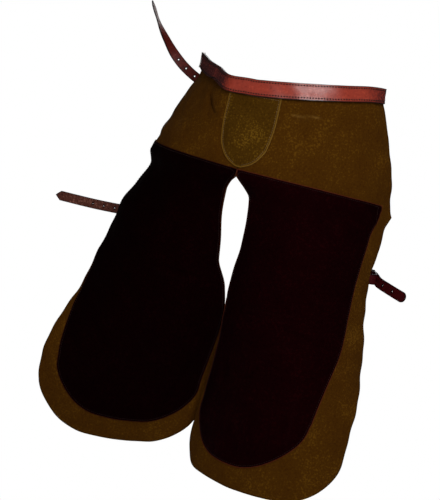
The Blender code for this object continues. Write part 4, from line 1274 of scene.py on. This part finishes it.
def strip(name, rows, outline, holes, thick, face, front, width, sewn=()):
    """A flat strap laid along a path. front is the side its face looks to; sewn holds lines to stitch."""
    run, path = smooth_path(rows)
    direction = np.gradient(path[:, :3], run, axis=0)
    direction /= np.linalg.norm(direction, axis=1)[:, None]
    upright = np.array([0.0, 0.0, 1.0]) - direction * direction[:, 2:3]
    upright /= np.linalg.norm(upright, axis=1)[:, None]
    normal = np.cross(direction, upright) * front
    turn = np.radians(path[:, 3:4])
    wide = upright * np.cos(turn) + normal * np.sin(turn)
    normal = normal * np.cos(turn) - upright * np.sin(turn)
    steps = np.linalg.norm(np.diff(np.array(rows)[:, :3], axis=0), axis=1)
    knots = np.concatenate([[0], np.cumsum(steps)])
    stations = np.interp(knots, np.linspace(0, steps.sum(), len(run)), run)
    bend = np.linalg.norm(np.diff(normal, axis=0), axis=1)
    bend += np.linalg.norm(np.diff(direction, axis=0), axis=1)
    # the strap bends at a cut every 5 mm, and every 7 degrees where it turns faster
    measure = np.concatenate([[0], np.cumsum(np.diff(run) / 0.005 + bend / math.radians(7))])
    cuts = np.interp(np.arange(1, int(measure[-1])), measure, run)
    half = width / 2
    levels = (-half - 0.004, -half + 0.0012, -half + 0.0028, 0.0, half - 0.0028, half - 0.0012, half + 0.004)
    punched = holes(stations)
    lines = [[(c, v) for v in levels] for c in cuts]
    points, triangles, edge = fill([outline(run[-1]), *punched], 1.0, lines)
    for hole in punched:
        edge = np.minimum(edge, distance_to(points, hole))

    def at(where, values):
        return np.stack([np.interp(where, run, values[:, i]) for i in range(3)], 1)

    def surface(flat, height):
        side = at(flat[:, 0], normal)
        side /= np.linalg.norm(side, axis=1)[:, None]
        return at(flat[:, 0], path) + at(flat[:, 0], wide) * flat[:, 1:2] + side * height, side

    crown = 0.0003 * (1 - np.clip(np.abs(points[:, 1]) / half, 0, 1) ** 4)
    inner, side = surface(points, -thick / 2)
    outer = surface(points, thick / 2 - 0.00025)[0] + side * crown[:, None]
    piece = leather(name, inner, outer, triangles, edge, face, BLACK_RIM, 0.0004)
    for number, line in enumerate(sewn):
        flat = along_line(line(run[-1]), STRAP_STITCH)
        ends = [surface(p, -thick / 2)[0] for p in flat]
        out = -surface(flat[1], 0.0)[1]
        sew(f"{name}_stitching_{number}", ends, out, STRAP_THREAD, THREAD_DARK)
    return piece


print("straps are sewn with", round(1 / STRAP_STITCH), "stitches to a metre")


# %% Ends and holes of a strap
def blunt(width):
    return lambda length: [(0, -width / 2), (length, -width / 2), (length, width / 2), (0, width / 2)]


def pointed(width, point):
    return lambda length: [
        (0, -width / 2), (length - point, -width / 2), (length - point * 0.3, -width * 0.17), (length, 0),
        (length - point * 0.3, width * 0.17), (length - point, width / 2), (0, width / 2),
    ]


def rounded(width):
    def loop(length):
        tip_arc = quarter((length - width * 0.42, 0), (width * 0.42, width / 2), -90, 90, 21)
        return [(0, -width / 2), *tip_arc, (0, width / 2)]

    return loop


def ring_of(middle, radius, count):
    """A round hole or section, as a closed flat path."""
    turns = [2 * math.pi * i / count for i in range(count)]
    return [(middle + radius * math.cos(t), radius * math.sin(t)) for t in turns]


def box_line(first, last, half):
    """Stitches round a sewn strap end."""
    return [(first, -half), (last, -half), (last, half), (first, half), (first, -half)]


print("a pointed tail has", len(pointed(STRAP_WIDTH, 0.012)(0.1)), "corners")


# %% Wire, bands and buckles
def swept(name, origin, e1, e2, path, section, closed, material):
    """A bar bent in the plane of e1 and e2, with a flat section across it."""
    path = np.array(path, float)
    run = np.roll(path, -1, 0) - np.roll(path, 1, 0) if closed else np.gradient(path, axis=0)
    run /= np.linalg.norm(run, axis=1)[:, None]
    off = np.stack([run[:, 1], -run[:, 0]], 1)
    e3 = np.cross(e1, e2)
    corners = []
    for p, o in zip(path, off):
        for a, b in section:
            flat = p + o * a
            corners.append(origin + e1 * flat[0] + e2 * flat[1] + e3 * b)
    faces = tube_faces(len(section), len(path), closed=closed)
    piece = face_out(new_piece(name, corners, faces, [material]))
    return piece


def rounded_box(low, high, radius, count=7):
    """A closed flat path round a box with rounded corners."""
    points = []
    left, right = low[0] + radius, high[0] - radius
    bottom, top = low[1] + radius, high[1] - radius
    for x, y, first in ((right, top, 0), (left, top, 90), (left, bottom, 180), (right, bottom, 270)):
        points += quarter((x, y), (radius, radius), first, first + 90, count)
    return points


print("a rounded box is a path of", len(rounded_box((0, 0), (1, 1), 0.1)), "points")

# %% Buckles
# the strap through a buckle: distance along it from the heel bar, and how far out it lies
THROUGH = (
    (-0.040, -0.0020), (-0.030, -0.0040), (-0.021, -0.0042), (-0.012, 0.0002),
    (-0.005, 0.0052), (0.000, 0.0068), (0.009, 0.0048), (0.020, 0.0046),
)

# distances along the strap from the heel bar
KEEPER_AT = 0.0155
FIRST_HOLE = 0.030
HOLE_PITCH = 0.0254
# degrees round the heel bar at which the billet's path has a row
TURN_OF_BILLET = (75, 100, 130, 155, 180, 205, 230, 260, 285)


def frame_at(middle, along):
    """Directions at a buckle: along the strap to its tip, across it, and out of it."""
    along = unit(np.array(along, float))
    across = unit(np.array([0.0, 0.0, 1.0]) - along * along[2])
    out = np.cross(along, across)
    return along, across, -out if out @ (np.array(middle, float) * (1, 1, 0)) < 0 else out


def buckle(kind, middle, along, leather_of_strap):
    """Frame, tongue and keeper of one buckle, each standing for its solid."""
    middle = np.array(middle, float)
    a, b, n = frame_at(middle, along)
    half = STRAP_WIDTH / 2 + 0.0008 + WIRE
    ring = rounded_box((-0.021, -half), (0.0, half), 0.0045)
    wire = ring_of(0.0, WIRE, 16)
    steel_frame = swept(f"{kind}_frame_steel", middle, a, b, ring, wire, True, STEEL)
    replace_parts(steel_frame, f"{kind}_buckle_frame")
    hook = [(0.0006, -0.0040), (-0.0020, -0.0037), (-0.0037, -0.0020), (-0.0043, 0.0004), (-0.0052, 0.0022)]
    hook += [(-0.0090, 0.0030), (-0.0140, 0.0036), (-0.0210, 0.0038), (-0.0242, 0.0030)]
    wire = ring_of(0.0, TONGUE_WIRE, 12)
    tongue = swept(f"{kind}_tongue_steel", middle, a, n, hook, wire, False, STEEL)
    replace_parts(rounded_off(tongue, 0.0004), f"{kind}_buckle_tongue")
    low = -BILLET_THICK - 0.0002 - SEAM - 0.0008
    high = 0.0046 + STRAP_THICK / 2 + SEAM + 0.0008
    side = STRAP_WIDTH / 2 + SEAM + 0.0010
    band = rounded_box((-side, low), (side, high), 0.0012, 5)
    cut = [(-0.0007, -0.0035), (0.0007, -0.0035), (0.0007, 0.0035), (-0.0007, 0.0035)]
    spot = middle + a * KEEPER_AT
    keeper = swept(f"{kind}_keeper_band", spot, b, n, band, cut, True, leather_of_strap)
    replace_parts(rounded_off(keeper, 0.0003), f"{kind}_keeper")


def buckle_rows(middle, along):
    middle = np.array(middle, float)
    a, _, n = frame_at(middle, along)
    return [(*(middle + a * p + n * q), 0.0) for p, q in THROUGH]


def billet(name, node, middle, along, rest, face):
    """The short strap that holds a buckle: doubled round the heel bar, with a slot for the tongue."""
    middle = np.array(middle, float)
    a, _, n = frame_at(middle, along)
    ply = BILLET_THICK / 2 + 0.00025
    bend = WIRE + SEAM + BILLET_THICK / 2
    rows = [(0.024, -ply), (0.012, -ply), (0.0050, -ply - 0.0008)]
    rows += [(bend * math.cos(t), -bend * math.sin(t)) for t in np.radians(TURN_OF_BILLET)]
    rows += [(0.0050, ply + 0.0008), (0.012, ply), (0.024, ply)]
    path = [(*(middle + a * p + n * q), 0.0) for p, q in rows]
    width = STRAP_WIDTH - 0.0008

    def slot(stations):
        low, high = stations[2] - 0.001, stations[10]
        return [[(low, -0.0024), (high, -0.0024), (high, 0.0024), (low, 0.0024)]]

    sewn = [lambda length: box_line(length - 0.030, length - 0.004, width / 2 - 0.003)]
    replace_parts(strip(name, path + rest, blunt(width), slot, BILLET_THICK, face, 1, width, sewn), node)


def seat(across, drop, thick, toward, front=1):
    """A row of a strap's path on the inner face of a panel, leaning as the panel does there."""
    e = 0.004
    beside_it = [across, across - e, across + e, across, across]
    ends = place(beside_it, [drop, drop, drop, drop - e, drop + e], -SEAT_GAP - thick / 2)
    direction = unit((ends[2] - ends[1]) * toward)
    rise = unit(ends[3] - ends[4])
    upright = unit(np.array([0.0, 0.0, 1.0]) - direction * direction[2])
    normal = np.cross(direction, upright) * front
    return (*ends[0], math.degrees(math.atan2(rise @ normal, rise @ upright)))


def strap(name, node, lead, middle, along, tail, outline, count, face, front, hole):
    """A long strap: its path to the buckle, through it, and its free tail with punched holes."""
    rows = lead + buckle_rows(middle, along) + tail
    heel = len(lead) + 5

    def holes(stations):
        bar = stations[heel]
        low, high = bar - 0.0150, bar - 0.0035
        slot = [(low, -0.0022), (high, -0.0022), (high, 0.0022), (low, 0.0022)]
        return [slot] + [ring_of(bar + FIRST_HOLE + HOLE_PITCH * i, hole, 14) for i in range(count)]

    sewn = [lambda length: box_line(0.004, 0.032, STRAP_WIDTH / 2 - 0.003)]
    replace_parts(strip(name, rows, outline, holes, STRAP_THICK, face, front, STRAP_WIDTH, sewn), node)


def upright_rows(*spots):
    """Rows of a strap's path where it stands upright, with no tilt."""
    return [(*spot, 0) for spot in spots]


print("holes are", HOLE_PITCH * 1000, "mm apart")


# %% The waist strap
WAIST_BUCKLE = (-0.106, 0.118, -0.009)
WAIST_ALONG = (-0.95, -0.31, 0.0)
top_seats = [seat(a, float(waistline(a)) + 0.001, STRAP_THICK, 1) for a in (0.205, 0.225, 0.245, 0.256)]
waist_lead = top_seats + upright_rows(
    (0.2035, 0.022, 0.038), (0.1960, 0.052, 0.030), (0.1740, 0.086, 0.016), (0.1300, 0.114, 0.002),
    (0.0700, 0.131, -0.006), (0.0050, 0.138, -0.009), (-0.0400, 0.1360, -0.009),
)
waist_tail = [
    (-0.160, 0.1060, -0.004, 0), (-0.2150, 0.0920, 0.011, 2), (-0.2540, 0.0850, 0.032, 8),
    (-0.2820, 0.0780, 0.056, 24), (-0.3030, 0.0700, 0.082, 50), (-0.3210, 0.0640, 0.107, 70),
    (-0.3350, 0.0580, 0.132, 80), (-0.3480, 0.0540, 0.158, 86),
]
waist_path = waist_lead, WAIST_BUCKLE, WAIST_ALONG, waist_tail
POINTED_END = pointed(STRAP_WIDTH, 0.012)
strap("waist_strap_leather", "waist_strap", *waist_path, POINTED_END, 7, STRAP_WAIST, 1, 0.0016)
buckle("waist", WAIST_BUCKLE, WAIST_ALONG, STRAP_WAIST)
waist_ends = [seat(-a, float(waistline(a)) + 0.001, BILLET_THICK, 1) for a in (0.256, 0.245, 0.225, 0.205)]
waist_rest = upright_rows((-0.1480, 0.0990, -0.006), (-0.1660, 0.0830, 0.002), (-0.1780, 0.0600, 0.026))
waist_rest += waist_ends
billet("waist_billet_leather", "waist_billet", WAIST_BUCKLE, WAIST_ALONG, waist_rest, STRAP_WAIST)
print("waist strap and its buckle are on")

# %% The leg straps
LEFT_BUCKLE = (-0.225, 0.065, -0.290)
LEFT_ALONG = (-0.80, -0.60, 0.0)
left_lead = [seat(-a, 0.298, STRAP_THICK + 0.0004, 1) for a in (0.150, 0.130, 0.112)] + upright_rows(
    (-0.0840, -0.1080, -0.291), (-0.0760, -0.0800, -0.291), (-0.0720, -0.0350, -0.290),
    (-0.0780, 0.0150, -0.290), (-0.0980, 0.0580, -0.290), (-0.1350, 0.0850, -0.290),
    (-0.1700, 0.0930, -0.290),
)
left_tail = upright_rows(
    (-0.2640, 0.0430, -0.291), (-0.2860, 0.0340, -0.292), (-0.3200, 0.0260, -0.294),
    (-0.3750, 0.0200, -0.295), (-0.4640, 0.0150, -0.294),
)
left_path = left_lead, LEFT_BUCKLE, LEFT_ALONG, left_tail
strap("left_leg_strap", "leg_strap_left", *left_path, POINTED_END, 6, STRAP_LEFT, 1, 0.0010)
buckle("leg_left", LEFT_BUCKLE, LEFT_ALONG, STRAP_RIGHT)
left_rest = upright_rows((-0.2520, 0.0400, -0.290), (-0.2570, 0.0250, -0.290))
left_rest += [seat(-a, 0.300, BILLET_THICK + 0.0024, 1) for a in (0.304, 0.290, 0.272)]
billet("left_leg_billet", "leg_billet_left", LEFT_BUCKLE, LEFT_ALONG, left_rest, STRAP_RIGHT)

RIGHT_BUCKLE = (0.238, 0.052, -0.308)
RIGHT_ALONG = (0.80, -0.60, 0.0)
right_lead = [seat(a, 0.306, STRAP_THICK, -1, -1) for a in (0.130, 0.110, 0.092)] + upright_rows(
    (0.0720, -0.1100, -0.306), (0.0640, -0.0800, -0.306), (0.0600, -0.0350, -0.306),
    (0.0680, 0.0150, -0.306), (0.0920, 0.0580, -0.306), (0.1350, 0.0830, -0.306),
    (0.1780, 0.0860, -0.306),
)
right_tail = upright_rows(
    (0.2740, 0.0300, -0.317), (0.2950, 0.0200, -0.323), (0.3170, 0.0120, -0.329), (0.3360, 0.0060, -0.3340),
)
right_path = right_lead, RIGHT_BUCKLE, RIGHT_ALONG, right_tail
ROUND_END = rounded(STRAP_WIDTH)
strap("right_leg_strap", "leg_strap_right", *right_path, ROUND_END, 3, STRAP_RIGHT, -1, 0.0013)
buckle("leg_right", RIGHT_BUCKLE, RIGHT_ALONG, STRAP_RIGHT)
right_rest = upright_rows((0.2650, 0.0250, -0.310), (0.2700, 0.0100, -0.311))
right_rest += [seat(a, 0.312, BILLET_THICK + 0.0046, -1) for a in (0.314, 0.298, 0.280)]
billet("right_leg_billet", "leg_billet_right", RIGHT_BUCKLE, RIGHT_ALONG, right_rest, STRAP_RIGHT)
print("leg straps and their buckles are on")

# %% [markdown]
# ## Sizes of the cut
#
# The area of each flat cut is worked out, and the size of each dark patch's cut is printed.

# %% Sheets and sizes
for side, (panel, patch) in sheets.items():
    flat_area(panel_outline(side))
    across_cut, down_cut = np.ptp(np.array(patch_outline(side)), axis=0)
    print(patch.name, "cut from", round(float(across_cut), 3), "by", round(float(down_cut), 3), "m")
    flat_area(patch_outline(side))
flat_area(centre_outline())
